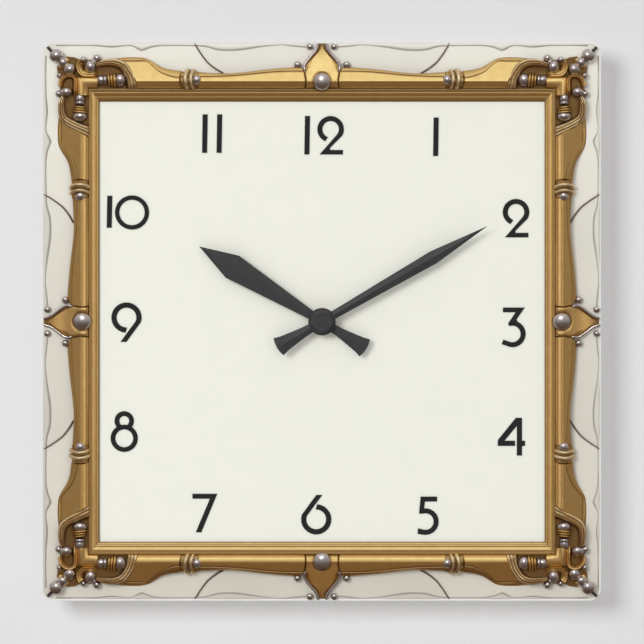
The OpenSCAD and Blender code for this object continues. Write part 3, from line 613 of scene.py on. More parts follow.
# Where the flat of a rail stops against the hood, as (v, u).
HOOD_EDGE = (
    [(113.6, 90.0), (116, 90.6), (119.5, 91.6), (122.6, 93.2), (125.5, 95.2), (127.0, 97.2),
     (128.0, 99.0), (128.6, 100.6), (129.4, 102)],
    [(113.6, 89.8), (115.5, 91.0), (118.2, 92.5), (121, 93.9), (124.3, 95.6), (127.1, 97.7),
     (128.4, 100), (129.4, 101)])
# The outer edge of the bed under a rail, as (u, v).
BED_EDGE = [
    (0, 120.8), (60.4, 120.8), (60.4, 122.0), (92.5, 122.0), (94.8, 123.4), (97, 126.2), (99.5, 127.7),
    (104, 128.2), (109, 127.6)
]
COLLARS = ((62.8, 0.9), (65.5, 1.1))    # u and radius of the two hoops over each rail


def rail_section(edge, line, slope, darkening):
    """A rail's cross-section: (v, h, patina and painted shade) from its inner foot over the ridge to its
    rim; its foot, groove and outer edge are painted dark as shade.
    """
    flat = RIDGE_H - slope * (line - 0.35 - RIDGE_V)
    rim = flat - slope * 0.5
    drop = max(rim - RIM_LEAN * (edge - line - 0.6), rim / 2)
    quarter_round = [(MOULDING_OUT - 0.1, 0.2, 1), (MOULDING_OUT - 0.05, 3.0, 0.6), (113.85, 3.3, 0.4),
                     (114.15, 3.8, 0.25), (114.5, 4.28, 0.15), (114.9, 4.65, 0.12), (115.2, 4.86, 0.1),
                     (115.5, 4.98, 0), (116.2, 5.21, 0), (117.0, 5.43, 0)]
    ridge_and_flat = [(RIDGE_V, RIDGE_H - 0.06, 0), (RIDGE_V + 0.3, RIDGE_H - slope * 0.3, 0),
                      (RIDGE_V + 0.75, RIDGE_H - slope * 0.75, 0), (line - 0.7, flat + slope * 0.35, 0),
                      (line - 0.35, flat, 0.1)]
    groove = [(line - 0.12, flat - 0.3, 0.75), (line + 0.1, flat - 0.32, 0.75)]
    outer_rim = [(line + 0.32, rim, 0.2 + darkening), ((line + edge) / 2, (rim + drop) / 2 + 0.03, darkening),
                 (edge - 0.45, drop, 0.2 + darkening), (edge - 0.15, max(drop - 0.45, 0.15), 0.7),
                 (edge, max(drop - 1.1, 0.05), 1), (edge, 0.0, 1)]
    return quarter_round + ridge_and_flat + groove + outer_rim


def met_at(table, start, end, t):
    """The v where a line along the rail is met, a share t of the way between two curved ends."""
    v = 120
    for _ in range(25):     # settles quickly, because the ends are nearly straight
        v = between(table, start(v) + (end(v) - start(v)) * t)
    return v


def rail_piece(shape, side, sign, start, end, edge, line, steps):
    """One stretch of a rail. start and end give u for each v, so that its ends can be curved.

    An extra row at each end, dipped, set out a little and painted darker as shade, softens the edge
    there."""
    rows = []
    for i in range(-1, steps + 2):
        t = min(max(i / steps, 0), 1)
        dipped = i < 0 or i > steps
        inset = 0.0 if dipped else 0.35
        edge_v, line_v = met_at(edge, start, end, t), met_at(line, start, end, t)
        row = []
        for v, h, dark in rail_section(edge_v, line_v, RAIL_LEAN[side % 2], RIM_SHADE[side]):
            at = start(v) + inset + (end(v) - start(v) - 2 * inset) * t
            if dipped:
                h, dark = max(h - 0.4, min(h, 0.2)), 0.6
            row.append((at, v, h, dark))
        rows.append(row)
    shape.skin(side, sign, rows)


def bed_outline(inset):
    """The thin bed under a rail, from one corner to the other."""
    right = [(u, v - inset) for u, v in BED_EDGE] + [(109, MOULDING_OUT)]
    return right + [(-u, v) for u, v in reversed(right)][:-1]


def rail(side):
    """A side's rail: its bed, two stretches on either half, and the low saddles between them."""
    shape = Shape()
    # painted shade: the bed under the rail is dark
    shape.skin(side, 1, [[(u, v, h, 0.88) for u, v in bed_outline(inset)]
                         for h, inset in ((0, 0), (BED_H - 0.3, 0), (BED_H, 0.3))])

    def palmette_end(v):
        return PALMETTE_WIDE[side % 2] * 8.1 + 0.9 * ((v - 117.5) / 5) ** 2

    def bead_end(v):
        return 60.4

    def collar_end(v):
        return 68.5 + 0.9 * (1 - ((v - 118.3) / 5) ** 2)

    def hood_end(v):
        return between(HOOD_EDGE[side % 2], v)

    saddle = rail_section(122.2, 119.6, RAIL_LEAN[0], 0)
    for sign in (1, -1):
        rail_piece(shape, side, sign, palmette_end, bead_end, MID_EDGE, MID_LINE, 40)
        rail_piece(shape, side, sign, collar_end, hood_end, END_EDGE, END_LINE, 32)
        # painted shade: the low saddles between the stretches are dark
        shape.skin(side, sign, [[(u, v, h * 0.86, 0.65) for v, h, _ in saddle] for u in (60.2, 64, 69)])
    build(f"gilt_rail_{SIDES[side]}", shape, GOLD, [f"rail_{SIDES[side]}"], sharp=32)


def rail_collars():
    """Two bowed hoops over each rail, beside its silver bead."""
    shape = Shape()
    arch = smooth([(114.2, 1.0), (114.2, 3.2), (115.1, 4.9), (116.8, 5.7), (118.6, 5.6), (120.3, 4.9),
                   (121.8, 3.7), (122.6, 2.4), (122.7, 0.8)], 3)
    for side, sign in each_half():
        for u0, r in COLLARS:
            path = [(u0 + 1.3 * (1 - ((p.x - 118.4) / 4.3) ** 2), p.x, p.y) for p in arch]
            tube_upright(shape, side, sign, path, r)
    build("pale_collars", shape, PALE_GOLD, ["rail_collars"], sharp=70)


def tube_upright(shape, side, sign, path, r, sides=12):
    """A round hoop whose path rises and falls over a rail; its feet and flanks are painted darker, as
    shade.
    """
    points = [Vector(p) for p in path]
    rows = []
    for i, (p, d) in enumerate(zip(points, headings(points))):
        along = Vector((1, 0, 0))
        along = (along - d * along.dot(d)).normalized()
        out = d.cross(along)
        foot = 1 - min(1.0, i / 4, (len(points) - 1 - i) / 4)
        ring = []
        for a in around(sides):
            q = p + along * (r * math.cos(a)) + out * (r * math.sin(a))
            flank = abs(math.cos(a)) ** 3
            ring.append((*q, min(1.0, flank * 0.45 + foot * 0.8)))
        rows.append(ring)
    shape.skin(side, sign, rows)


# ---------------- palmettes
BEAD_V = 117.1                  # middle of the big bead
SOCKET_R = 4.4                  # radius of the sunken socket it sits in, which is painted dark as shade
PALMETTE_WIDE = (1.0, 0.9)      # how wide the palmettes are drawn
PALMETTE_EDGE = smooth([
    (8.2, 113.7), (7.85, 115.6), (7.8, 118.5), (8.3, 121), (8.9, 122.8), (9.15, 124.4), (8.5, 126.4),
    (7.0, 128.4), (5.3, 130.4), (3.7, 132.3), (2.8, 134.2), (2.4, 136.0)
], 5)
# Across a palmette from its edge inwards: offset, height against the field, and patina with painted shade
# along its edge.
PALMETTE_STEPS = [
    (0.12, -0.6, 0.6), (1.0, -0.7, 0.8), (1.35, -0.7, 0.8), (1.55, -0.35, 0.3), (1.75, -0.32, 0.1),
    (1.95, -0.48, 0.6), (2.15, -0.45, 0.55), (2.35, -0.1, 0.12), (2.8, -0.02, 0)
]
# Across its field: share of the way from the middle line to the last step.
PALMETTE_FIELD = (0.88, 0.76, 0.64, 0.52, 0.4, 0.28, 0.14, 0.0)
# How much darker a palmette's field and its tip are painted, as shade.
PALMETTE_SHADE = ((0.11, 0.3), (0.14, 0.6))


def smooth_step(t):
    t = min(max(t, 0.0), 1.0)
    return t * t * (3 - 2 * t)


def palmette_height(v, side):
    """Height of a palmette's field: it rolls up from the dial, then leans outwards like the rails."""
    if v > RIDGE_V:
        slope, ease = ((0.4, 0.0062), (0.47, 0.0095))[side % 2]
        return 5.35 - slope * (v - RIDGE_V) + ease * (v - RIDGE_V) ** 2
    return between([(113.7, 1.6), (113.9, 2.8), (114.4, 4.0), (115.2, 4.75), (RIDGE_V, 5.38)], v)


def palmette(side):
    shape = Shape()
    rows = []
    for p, n in zip(PALMETTE_EDGE, normals_of(PALMETTE_EDGE)):
        share = min(1.0, max(0.16, (p.y - 120.5) / 3))
        top = palmette_height(p.y, side)
        row = [(p.x, p.y, 0.2, 0.8)]
        for d, drop, dark in PALMETTE_STEPS:
            row.append((max(0.08, p.x + n.x * d * share), p.y + n.y * d * share * 0.5,
                        top + drop * (0.4 + 0.6 * share), dark))
        inner_u = row[-1][0]
        row += [(inner_u * part, p.y, top + 0.02, 0) for part in PALMETTE_FIELD]
        field, tip = PALMETTE_SHADE[side % 2]
        # painted shade: the field darkens on the upright sides and towards its tip
        darkening = field + (tip - field) * smooth_step((p.y - 127) / 7)
        row = [(u * PALMETTE_WIDE[side % 2], min(v, edge_of(side)), h, max(dark, darkening))
               for u, v, h, dark in row]
        mirrored = [(-u, v, h, dark) for u, v, h, dark in reversed(row[:-1])]
        line = []
        for u, v, h, dark in row + mirrored:
            # painted shade: a dark ring around the bead, in its socket
            socket = max(0.0, 1 - max(0.0, math.hypot(u, v - BEAD_V) - SOCKET_R) / 0.8)
            line.append((u, v, max(h - 0.5 * socket, 0.1), max(dark, socket)))
        rows.append(line)
    shape.skin(side, 1, rows)
    build(f"gilt_palmette_{SIDES[side]}", shape, GOLD,
          [f"palmette_{SIDES[side]}"], sharp=40)


def palmette_rims():
    """The silver cord along each palmette's upper edge."""
    shape = Shape()
    edge = list(zip(PALMETTE_EDGE, normals_of(PALMETTE_EDGE)))
    path = [p + n * 0.5 for p, n in edge if p.y > 121.6]
    count = len(path) - 1
    for side, sign in each_half():
        points = []
        for i, p in enumerate(path):
            inside = edge_of(side) - 0.01 * (count - i)     # so that no two points meet at the edge
            points.append((p.x * PALMETTE_WIDE[side % 2], min(p.y, inside),
                           2.9 - 1.5 * (i / count) ** 0.7))
        tube(shape, side, sign, points, lambda t: min(0.25 + 6 * t, 0.62), sides=16)
    build("silver_rims", shape, SILVER, ["palmette_rims"], sharp=70)


# ---------------- beads
# The small beads: u, v, radius, seat, top.
SMALL_BEADS = (
    [(12.0, 125.5, 1.65, 1.0, 2.9), (5.9, 134.4, 1.6, 0.4, 2.5), (110.1, 128.7, 1.75, 1.3, 3.6),
     (116.6, 128.0, 1.45, 1.5, 3.6)],
    [(10.6, 125.5, 1.65, 1.0, 2.9), (5.9, 134.2, 1.6, 0.4, 2.5), (111.3, 128.6, 1.65, 1.3, 3.6),
     (120.2, 128.3, 1.4, 1.5, 3.6)])
# The egg-shaped knob in each hood's mouth: u, v, radius, and the angle it points in.
KNOBS = ((113.1, 124.5, 2.6, 70), (112.1, 124.9, 2.45, 95))


def beads():
    """The silver beads: big, on the rails, small, and the knobs with the bead beside each."""
    big, small, on_rail, knob = Shape(), Shape(), Shape(), Shape()
    for side in range(4):
        pearl(big, side, 0, BEAD_V, 4.3, 3.6, 7.2, sides=56)
    for side, sign in each_half():
        pearl(on_rail, side, sign * 61.2, 118.0, 2.35, 3.6, 6.4)
        for u, v, r, seat, top in SMALL_BEADS[side % 2]:
            pearl(small, side, sign * u, v, r, seat, top)
        u, v, r, lean = KNOBS[side % 2]
        angle = math.radians(lean if sign > 0 else 180 - lean)
        pearl(knob, side, sign * u, v, r, 2.6, 5.8, 1.12, angle)
        bead_u, bead_v = SMALL_BEADS[side % 2][2][:2]
        pearl(knob, side, sign * (0.45 * u + 0.55 * bead_u), 0.45 * v + 0.55 * bead_v, 1.35, 1.6, 3.9)
    for name, shape, cad_node in (("big_beads", big, "big_beads"), ("small_beads", small, "small_beads"),
                                  ("rail_beads", on_rail, "rail_beads"),
                                  ("knobs", knob, "corner_knobs")):
        build(f"silver_{name}", shape, SILVER, [cad_node], sharp=60)


# ---------------- hoods and balusters
# The line that a hood's ribs follow, as (u, v).
HOOD_PATH = (
    [(89.6, 113.5), (90.2, 116), (91.2, 119.5), (92.8, 122.6), (95.2, 125.9), (97.8, 127.6),
     (101, 128.4), (104.5, 128.3), (108, 127.5), (110.8, 126.4)],
    [(89.4, 113.5), (90.7, 115.5), (92.2, 118.2), (93.6, 121), (95.3, 124.3), (97.4, 127.1),
     (100.2, 128.6), (104, 129.0), (107.5, 128.6), (110.4, 127.4)])
HOOD_FLARE = (0.34, 0.38)       # how much wider a hood grows at its foot
# Across a hood from the rail's flat to its mouth: offset, height, and patina with painted shade in its
# grooves and towards its mouth.
HOOD_PROFILE = [
    (0.0, 0.8, 1), (0.0, 2.9, 1), (0.16, 3.7, 0.6), (0.5, 4.45, 0.0), (0.85, 4.5, 0.0), (1.1, 4.15, 0.3),
    (1.28, 3.85, 0.65), (1.45, 4.15, 0.2), (1.8, 4.85, 0), (2.1, 4.85, 0), (2.35, 4.4, 0.35),
    (2.5, 4.15, 0.65), (2.68, 4.4, 0.2), (3.0, 4.95, 0), (3.3, 4.8, 0.1), (3.6, 4.0, 0.6),
    (3.9, 2.8, 0.7), (4.4, 1.7, 0.6), (4.4, 0.8, 1)
]


def hoods():
    """The ribbed hood at either end of each rail, which opens towards the corner."""
    shape = Shape()
    flipped = [(-d, h, dark) for d, h, dark in HOOD_PROFILE]
    for side, sign in each_half():
        path = smooth(HOOD_PATH[side % 2])
        flare = HOOD_FLARE[side % 2]
        sweep(shape, side, sign, path, flipped,
              lambda t: 1.14 - 0.56 * t ** 3 + flare * max(0.0, 1 - t / 0.3) ** 1.3,
              lambda t: min(1.0, 0.72 + 2.4 * t, 0.8 + 1.6 * (1 - t)), stop=MOULDING_OUT + 0.05)
    build("pale_hoods", shape, PALE_GOLD, ["hood_ribs"], sharp=60)


# The balusters: ball (u, half length, radius), axis v, ring radius, ring pitch, collar's start.
BALUSTERS = (((98.7, 3.0, 3.45), 118.0, 3.9, 1.35, 105.0),
             ((100.3, 2.65, 3.6), 118.3, 3.8, 1.15, 106.0))


def balusters():
    """The turned bar in each hood: a silver ball, gold rings and a silver collar."""
    ball, rings, collar = Shape(), Shape(), Shape()
    for side, sign in each_half():
        (ball_u, half, ball_r), axis_v, ring_r, pitch, u = BALUSTERS[side % 2]
        profile = [(ball_u - half, 0.2, 0.6)]
        profile += [(ball_u - half * math.cos(math.radians(a)), ball_r * math.sin(math.radians(a)), 0.0)
                    for a in range(10, 166, 8)]
        turned(ball, side, sign, axis_v, 2.5, profile + [(ball_u + half, 1.0, 1)], flat=0.85)
        foot = ball_u + half - 0.9
        ring_profile = [(foot, 1.9, 1)]
        for k in range(3):
            r = ring_r - 0.32 * k
            at = foot + 0.2 + pitch * k
            ring_profile += rounded(at, r - 0.75, at + pitch - 0.1, r - 0.8, 0.75, 8)
        ring_profile.append((foot + 3 * pitch + 0.4, 1.7, 1))
        turned(rings, side, sign, axis_v, 2.5, ring_profile, flat=0.85, bow=0.09)
        collar_profile = [(u, 1.6, 1)] + rounded(u + 0.1, 2.2, u + 1.6, 2.2, 0.35, 6)
        collar_profile += rounded(u + 1.7, 2.2, u + 4.6, 1.95, 0.35, 8, 0.0) + [(u + 5.0, 1.2, 1)]
        turned(collar, side, sign, axis_v, 2.7, collar_profile)
    build("silver_baluster_balls", ball, SILVER, sharp=60)
    build("gilt_baluster_rings", rings, GOLD, ["baluster_rings"], sharp=60)
    build("silver_baluster_collars", collar, SILVER, ["baluster_collars"], sharp=60)


# ---------------- corners
CORNERS = ("top_right", "bottom_right", "bottom_left", "top_left")
BAR_V = 116.7                   # centre line of the two bars that meet at a corner
BAR_R = 2.95
BAR_START = (109.6, 110.5)      # where a bar starts
DIAGONAL = 118                  # u and v of the point that the finials are measured from
# The rims of the niches, as (u, v).
NICHE_PATH = (
    [(109.2, 120.3), (113.5, 120.1), (116.8, 120.3), (118.7, 121.7), (119.5, 124), (119.2, 126),
     (118.2, 127.3)],
    [(109.0, 120.2), (113, 120.1), (117, 119.9), (119.4, 120.4), (120.6, 122.3), (120.6, 124.6),
     (119.3, 126.7), (117.3, 127.9), (115.0, 128.3)])
# Across a niche from outside its rim inwards: offset, height, and patina with painted shade at its foot
# and on its floor.
NICHE_RIM = [(-0.75, 0.6, 1), (-0.72, 3.1, 0.8), (-0.42, 4.1, 0.1), (-0.1, 4.45, 0)]
NICHE_PROFILE = (NICHE_RIM + [(0.3, 4.35, 0.0), (0.6, 3.9, 0.4), (0.72, 3.8, 0.6), (0.9, 3.9, 0.2),
                              (1.3, 3.75, 0.0), (2.0, 3.25, 0.0), (2.8, 2.5, 0.15), (3.3, 1.8, 0.5),
                              (3.3, 0.6, 1)],
                 NICHE_RIM + [(0.2, 4.35, 0.0), (0.42, 3.9, 0.5), (0.52, 3.8, 0.7), (0.7, 3.85, 0.3),
                              (0.95, 3.8, 0.05), (1.2, 3.3, 0.2), (1.6, 2.3, 0.4), (2.1, 1.7, 0.6),
                              (2.1, 0.6, 1)])


def corner_floor(inset):
    """Outline of a corner's gold plate, for the top right corner."""
    half = [(109, 127.6), (112, 128.0), (118, 127.9), (121, 129.2), (124.5, 129.6), (127.4, 127.9)]
    half = [(u, v - inset) for u, v in half]
    other = [(v, u) for u, v in reversed(half)]
    return half + other + [(MOULDING_OUT, 109), (MOULDING_OUT, MOULDING_OUT), (109, MOULDING_OUT)]


def corner_bars(shape, side):
    """The two gold bars that meet at the corner in a mitre."""
    first, second, mitre = [], [], []
    for a in around(24):
        v = BAR_V + BAR_R * math.cos(a)
        h = 2.7 + 2.25 * math.sin(a)
        # painted shade: the bars darken on their half towards the panel
        dark = 0.9 * max(0.0, -math.sin(a) + 0.3) ** 0.5
        first.append((BAR_START[side % 2], v, h, dark))
        mitre.append((v, v, h, dark))
        second.append((v, BAR_START[(side + 1) % 2], h, dark))
    shape.skin(side, 1, [first, mitre, second])


def corner_plate(side):
    """A corner: its bed, its bars, and on either side of the diagonal a niche and a gold bead."""
    shape = Shape()
    # painted shade: the corner's bed is dark around the bars and the niches
    levels = ((0, 0, 1), (BED_H - 0.3, 0, 0.9), (BED_H, 0.3, 0.9))
    shape.skin(side, 1, [[(u, v, h, dark) for u, v in corner_floor(inset)] for h, inset, dark in levels])
    corner_bars(shape, side)
    for place, sign, angle in ((side, 1, 35), ((side + 1) % 4, -1, 145)):
        path = smooth(NICHE_PATH[place % 2])
        sweep(shape, place, sign, path, NICHE_PROFILE[place % 2], lift=lambda t: min(1.0, 0.35 + 6 * t))
        pearl(shape, place, sign * 124.9, 127.7, 1.25, 1.4, 2.9, 1.3, math.radians(angle))
    build(f"gilt_corner_{CORNERS[side]}", shape, GOLD,
          [f"corner_plate_{CORNERS[side]}"], sharp=45)


def diagonal(shape, side, profile, axis_h, sides=32):
    """A turned piece along a corner's diagonal; profile holds (distance, radius, patina and painted
    shade).
    """
    k = math.sqrt(0.5)
    rows = []
    for s, r, dark in profile:
        ring = []
        for a in around(sides):
            along, across = s * k, r * math.cos(a) * k
            ring.append((DIAGONAL + along - across, DIAGONAL + along + across,
                         axis_h + r * math.sin(a), dark))
        rows.append(ring)
    shape.skin(side, 1, rows)


def ball_profile(centre, r, start, stop, step):
    """Profile points of a ball on a diagonal, between two angles in degrees."""
    return [(centre - r * math.cos(math.radians(a)), r * math.sin(math.radians(a)), 0.0)
            for a in range(start, stop, step)]


def finials():
    """Along each corner's diagonal: a silver cup, a gold neck, a silver cone and a silver ball."""
    silver, gold = Shape(), Shape()
    cup = [(4.2, 0.4, 1)] + ball_profile(7.4, 3.0, 25, 150, 9) + [(9.9, 1.2, 1)]
    neck = [(9.2, 1.2, 1)] + rounded(9.3, 1.5, 10.5, 1.5, 0.4, 5, 0.2) + [(10.6, 1.0, 1)]
    cone = [(10.3, 0.9, 1)] + ball_profile(12.2, 2.45, 30, 150, 10) + [(14.0, 1.6, 1)]
    ball = [(13.2, 1.0, 1)] + ball_profile(16.75, 3.35, 22, 168, 9) + [(20.1, 0.4, 0.8)]
    for side in range(4):
        diagonal(silver, side, cup, 2.0)
        diagonal(gold, side, neck, 2.0)
        diagonal(silver, side, cone, 2.3)
        diagonal(silver, side, ball, 2.3)
    build("silver_finials", silver, SILVER, ["corner_finials"], sharp=60)
    build("gilt_finial_necks", gold, PALE_GOLD, sharp=60)


# The arc wires, from the panel's edge to the rail, as (u, v).
ARC_LINE = [
    (62.2, 136.0), (61, 133.8), (59.5, 131.4), (57.8, 129), (56, 126.8), (53.8, 124.9), (51.5, 123.3),
    (48.3, 121.5)
]


def wires():
    """The bronze arc wires on the panel, and the dark pins at the tips of the finials."""
    shape = Shape()
    for side, sign in each_half():
        path = smooth([(u, min(v, edge_of(side)), 0.42) for u, v in ARC_LINE], 6)
        tube(shape, side, sign, path, lambda t: 0.34 + 0.14 * t, 0.9, 12)
    build("bronze_wires_bent", shape, WIRE, ["dark_wires"], sharp=70)
    shape = Shape()
    for side in range(4):
        places = [DIAGONAL + s * math.sqrt(0.5) for s in (19.8, 20.6, 21.4, 22.2, 22.9)]
        tube(shape, side, 1, [(s, s, 1.6) for s in places], lambda t: 0.78 - 0.1 * t)
    build("dark_finial_pins", shape, PIN, sharp=70)


# ---------------- hands
def hand_tip(node):
    """A hand's length in millimetres and its angle clockwise from twelve, from its CAD solid."""
    places = [(v.co.x - CENTRE_X, v.co.z - CENTRE_Z) for v in frame["nodes"][node].data.vertices]
    x, z = max(places, key=lambda p: p[0] ** 2 + p[1] ** 2)
    return math.hypot(x, z) / MM, math.atan2(x, z)


END_R = 13.5            # radius of the rounded end of a hand's tail
HUB_R = 6.7


def hand(name, node, body, root, belly, belly_y, waist, tail, tail_r, ridge):
    """A faceted hand: a centre ridge, a flared tail and a round hub.

    root, belly, waist and tail are its widths, belly_y and tail_r where its blade is widest
    and its tail ends, and ridge is how far the ridge rises, as a share of the thickness."""
    low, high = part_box(node)
    back, front = high.y, low.y
    thick = back - front
    length, turn = hand_tip(node)
    stations = [(-tail_r, tail), (-tail_r + 4, tail * 0.81), (-14, waist + 1.5), (-10, waist + 0.5),
                (-5.5, waist), (0, (waist + root) / 2), (5.5, root), (belly_y, belly), (length, 0.02)]
    stations = [(y, w / 2) for y, w in stations]
    refined = []
    for (y0, w0), (y1, w1) in zip(stations, stations[1:]):
        steps = 6 if y1 <= -5 else 3
        refined += [(y0 + (y1 - y0) * k / steps, w0 + (w1 - w0) * k / steps) for k in range(steps)]
    refined.append(stations[-1])
    shape = Shape()

    def put(x, y, depth):
        return Vector((CENTRE_X + x * MM * math.cos(turn) + y * MM * math.sin(turn), back - depth * thick,
                       CENTRE_Z - x * MM * math.sin(turn) + y * MM * math.cos(turn)))

    rows = []
    for y, w in refined:
        bent = max(0.0, (-y - 18) / (tail_r - 18))
        row = []
        for x, depth in ((-w, 0), (-w, 0.8 - ridge), (-w * 0.94, 1 - ridge), (-w * 0.47, 1 - ridge / 2),
                         (0, 1.0), (w * 0.47, 1 - ridge / 2), (w * 0.94, 1 - ridge), (w, 0.8 - ridge),
                         (w, 0)):
            bow = (math.sqrt(END_R ** 2 - x ** 2) - END_R) * bent
            row.append((put(x, y - bow, depth), 0.0))
        rows.append(row)
    shape.loft(rows)
    hub = ((0.4, 0), (HUB_R, 0), (HUB_R, 0.75), (HUB_R - 0.25, 0.97), (HUB_R - 0.6, 1.0), (0.4, 1.0))
    shape.loft([[(put(r * math.cos(a), r * math.sin(a), depth), 0.0) for a in around(ROUND)]
                for r, depth in hub])
    build(name, shape, CHARCOAL, [node], sharp=12, body=body)


def hand_cap():
    """The dished cap in front of the hands' hub."""
    low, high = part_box("hand_cap")
    r = (high.x - low.x) / 2
    depth = high.y - low.y
    profile = ((0.4, 0.0), (1.0, 0.0), (1.0, 0.62), (0.985, 0.76), (0.95, 0.88), (0.89, 0.96),
               (0.8, 1.0), (0.74, 0.975), (0.6, 0.965), (0.3, 0.975), (0.02, 0.98))
    shape = Shape()
    shape.loft([[(Vector((CENTRE_X + r * share * math.cos(a), high.y - depth * h,
                          CENTRE_Z + r * share * math.sin(a))), 0.0) for a in around(ROUND)]
                for share, h in profile])
    build("hands_cap", shape, CHARCOAL, ["hand_cap"], sharp=50, body="minute_set")


# ---------------- CAD nodes that stay
KEPT = {
    "dial_plate": DIAL, "numerals": INK, "hanger": STEEL, "gasket": RUBBER, "fixing_washer": BRASS,
    "fixing_nut": BRASS, "movement_case": CASE, "rear_cover": CASE, "middle_plate": WHITE_PLASTIC,
    "battery_cell": SLEEVE, "battery_contacts": STEEL, "circuit_board": BOARD, "quartz_crystal": STEEL,
    "coil_bobbin": WHITE_PLASTIC, "coil_winding": COPPER, "stator": STEEL, "rotor": MAGNET,
    "intermediate_wheel": WHITE_PLASTIC, "seconds_wheel": WHITE_PLASTIC, "third_wheel": WHITE_PLASTIC,
    "centre_wheel": AMBER_PLASTIC, "minute_arbor": STEEL, "motion_wheel": WHITE_PLASTIC,
    "hour_wheel": WHITE_PLASTIC, "setting_knob": CASE, "hour_hand_collet": BRASS,
    "minute_hand_bush": BRASS,
}


def dress_kept():
    """Gives each CAD node that stays its material, and the case, its rear cover, the hanger and the
    setting knob a fine bevel on their edges.
    """
    for name, material in KEPT.items():
        piece = frame["nodes"][name]
        piece.data.materials.clear()
        piece.data.materials.append(material)
        if name in ("rear_cover", "movement_case", "hanger", "setting_knob"):
            edge = piece.modifiers.new("edge", "BEVEL")
            edge.width = 0.00025
            edge.segments = 2
            edge.limit_method = "ANGLE"
            edge.angle_limit = math.radians(40)


# ---------------- stage
def plane(name, corners, material):
    """A flat piece of the stage."""
    mesh = bpy.data.meshes.new(name)
    mesh.from_pydata(corners, [], [(0, 1, 2, 3)])
    mesh.materials.append(material)
    piece = bpy.data.objects.new(name, mesh)
    bpy.context.scene.collection.objects.link(piece)
    return piece


def wall_paint():
    """Pale wall paint that shows on its front only, so that the clock's back can be looked at."""
    material, tree, shader = nodes_for("wall_paint")
    cloud = noise_node(tree, 6, 3)
    colour = mix_node(tree, cloud, (0.73, 0.73, 0.735), (0.75, 0.75, 0.755))
    set_inputs(tree, shader, {"Base Color": colour, "Roughness": 0.9, "Specular IOR Level": 0.1})
    back = tree.nodes.new("ShaderNodeNewGeometry").outputs["Backfacing"]
    clear = tree.nodes.new("ShaderNodeBsdfTransparent")
    mix = node(tree, "MixShader", {0: back, 1: shader.outputs["BSDF"], 2: clear.outputs["BSDF"]})
    set_inputs(tree, tree.nodes["Material Output"], {"Surface": mix.outputs["Shader"]})
    return material


FLOOR_Z = -1.2
WALL_TOP = 2.4
WALL_GAP = 0.0004       # behind the clock's back


def stage():
    """The wall behind the clock, which takes no part in its light, and a floor far below."""
    y = cad_box[1].y + WALL_GAP
    wall = plane("wall", [(-3, y, FLOOR_Z), (3, y, FLOOR_Z), (3, y, WALL_TOP), (-3, y, WALL_TOP)],
                 wall_paint())
    for rays in ("diffuse", "glossy", "transmission", "shadow"):
        setattr(wall, f"visible_{rays}", False)
    floor_paint = moulded("floor_paint", (0.78, 0.78, 0.77), (0.74, 0.74, 0.73), 0.7, 60, 0.05)
    floor = plane("floor", [(x, y, FLOOR_Z) for x, y in ((-4, -4), (4, -4), (4, 4), (-4, 4))],
                  floor_paint)
    floor.visible_glossy = False


def softbox(name, place, size, power, group=None, disk=False, tint=(1, 1, 1)):
    """A soft light that faces the clock. With a group it only glints on those pieces."""
    glints = group is not None
    light = bpy.data.lights.new(name, "AREA")
    light.color = tint
    light.shape = "ELLIPSE" if disk else "RECTANGLE"
    light.size, light.size_y = size
    light.energy = power
    lamp = bpy.data.objects.new(name, light)
    lamp.location = place
    lamp.rotation_mode = "QUATERNION"
    middle = Vector((CENTRE_X, 0, CENTRE_Z))
    lamp.rotation_quaternion = (middle - Vector(place)).to_track_quat("-Z", "Y")
    lamp.visible_diffuse = not glints
    lamp.visible_glossy = glints or name == "back_light"
    bpy.context.scene.collection.objects.link(lamp)
    if glints:
        receivers = bpy.data.collections.new(f"{name}_on")
        for piece in group:
            receivers.objects.link(piece)
        lamp.light_linking.receiver_collection = receivers


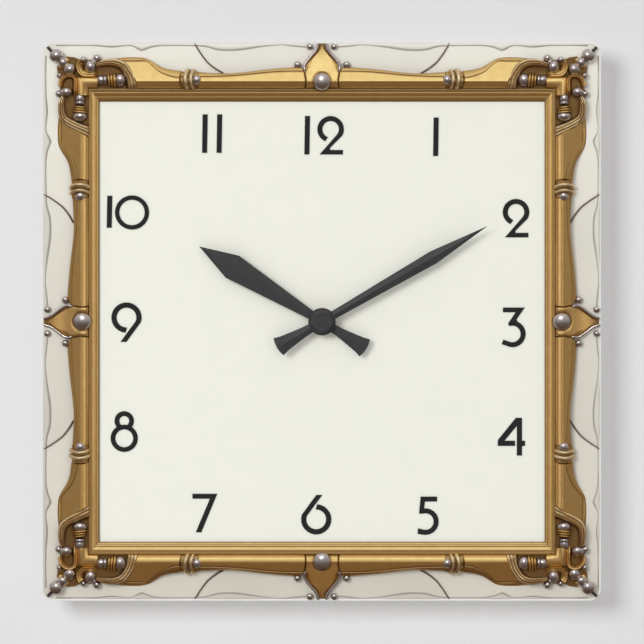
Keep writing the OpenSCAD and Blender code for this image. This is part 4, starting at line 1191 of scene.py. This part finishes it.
def lights():
    """A large key from the upper left, a weak fill, glints for each metal, and one light behind."""
    gilt = LIT_AS["gold_leaf"] + LIT_AS["pale_gold_leaf"]
    silver = LIT_AS["silver_leaf"]
    softbox("key", (-1.75, -3.2, 0.95), (1.5, 1.5), 72)
    softbox("fill", (0.5, -1.9, 0.2), (1.6, 1.2), 4.6)
    softbox("top_strip", (0, -1.05, 0.85), (1.6, 0.55), 3.25, gilt, tint=(0.76, 1.03, 1.2))
    softbox("left_strip", (-0.66, -1.18, 0.15), (0.2, 0.8), 0.86, gilt)
    softbox("right_strip", (0.66, -1.18, 0.15), (0.2, 0.8), 0.86, gilt)
    softbox("low_strip", (0, -1.05, -0.95), (1.6, 0.4), 0.45, gilt, tint=(1.0, 0.82, 0.64))
    softbox("bead_light", (-0.12, -1.1, 0.72), (0.42, 0.42), 4.5, silver, disk=True)
    softbox("hand_light", (-0.3, -1.2, 0.55), (0.5, 0.3), 3.0, LIT_AS["charcoal_coat"])
    softbox("back_light", (0.8, 1.6, 0.8), (1.2, 1.2), 22)


def world():
    """A soft studio surround: bright above, warm and dim below."""
    sky = bpy.data.worlds.new("studio")
    bpy.context.scene.world = sky
    sky.use_nodes = True
    tree = sky.node_tree
    place = tree.nodes.new("ShaderNodeTexCoord").outputs["Generated"]
    split = node(tree, "SeparateXYZ", {"Vector": place})
    rise = span_node(tree, split.outputs["Z"], -1, 1, 0, 1)
    colour = ramp_node(tree, rise, [(0.0, (0.10, 0.065, 0.045)), (0.42, (0.185, 0.145, 0.12)),
                                    (0.56, (0.37, 0.355, 0.34)), (1.0, (0.66, 0.66, 0.67))])
    set_inputs(tree, tree.nodes["Background"], {"Color": colour, "Strength": 1.0})


def camera():
    """Straight on, as far off as a long lens needs to frame the clock and a band of wall."""
    lens = 300
    sensor = 36
    framed = 0.31485        # width of what the picture shows, in the plane of the panel's front
    low = 0.00017           # how far the picture's middle is below the clock's
    data = bpy.data.cameras.new("camera")
    data.lens = lens
    data.sensor_width = sensor
    data.dof.use_dof = False
    data.clip_end = 50
    eye = bpy.data.objects.new("camera", data)
    distance = framed * lens / sensor
    eye.location = (CENTRE_X, PANEL_FRONT - distance, CENTRE_Z - low)
    eye.rotation_euler = (math.pi / 2, 0, 0)
    bpy.context.scene.collection.objects.link(eye)
    bpy.context.scene.camera = eye


bpy.context.scene.view_settings.view_transform = "Standard"
camera()
world()
stage()
dress_kept()
panel()
border_lip()
cartouches()
for number in range(4):
    inner_moulding(number)
    rail(number)
    palmette(number)
    corner_plate(number)
rail_collars()
palmette_rims()
beads()
hoods()
balusters()
finials()
wires()
hand("hour_hand_blade", "hour_hand", "hour_set", root=4.3, belly=12.6, belly_y=51.4, waist=4.2,
     tail=9.8, tail_r=25.4, ridge=0.25)
hand("minute_hand_blade", "minute_hand", "minute_set", root=4.1, belly=6.6, belly_y=62.9, waist=4.4,
     tail=9.7, tail_r=25.4, ridge=0.6)
hand_cap()
lights()
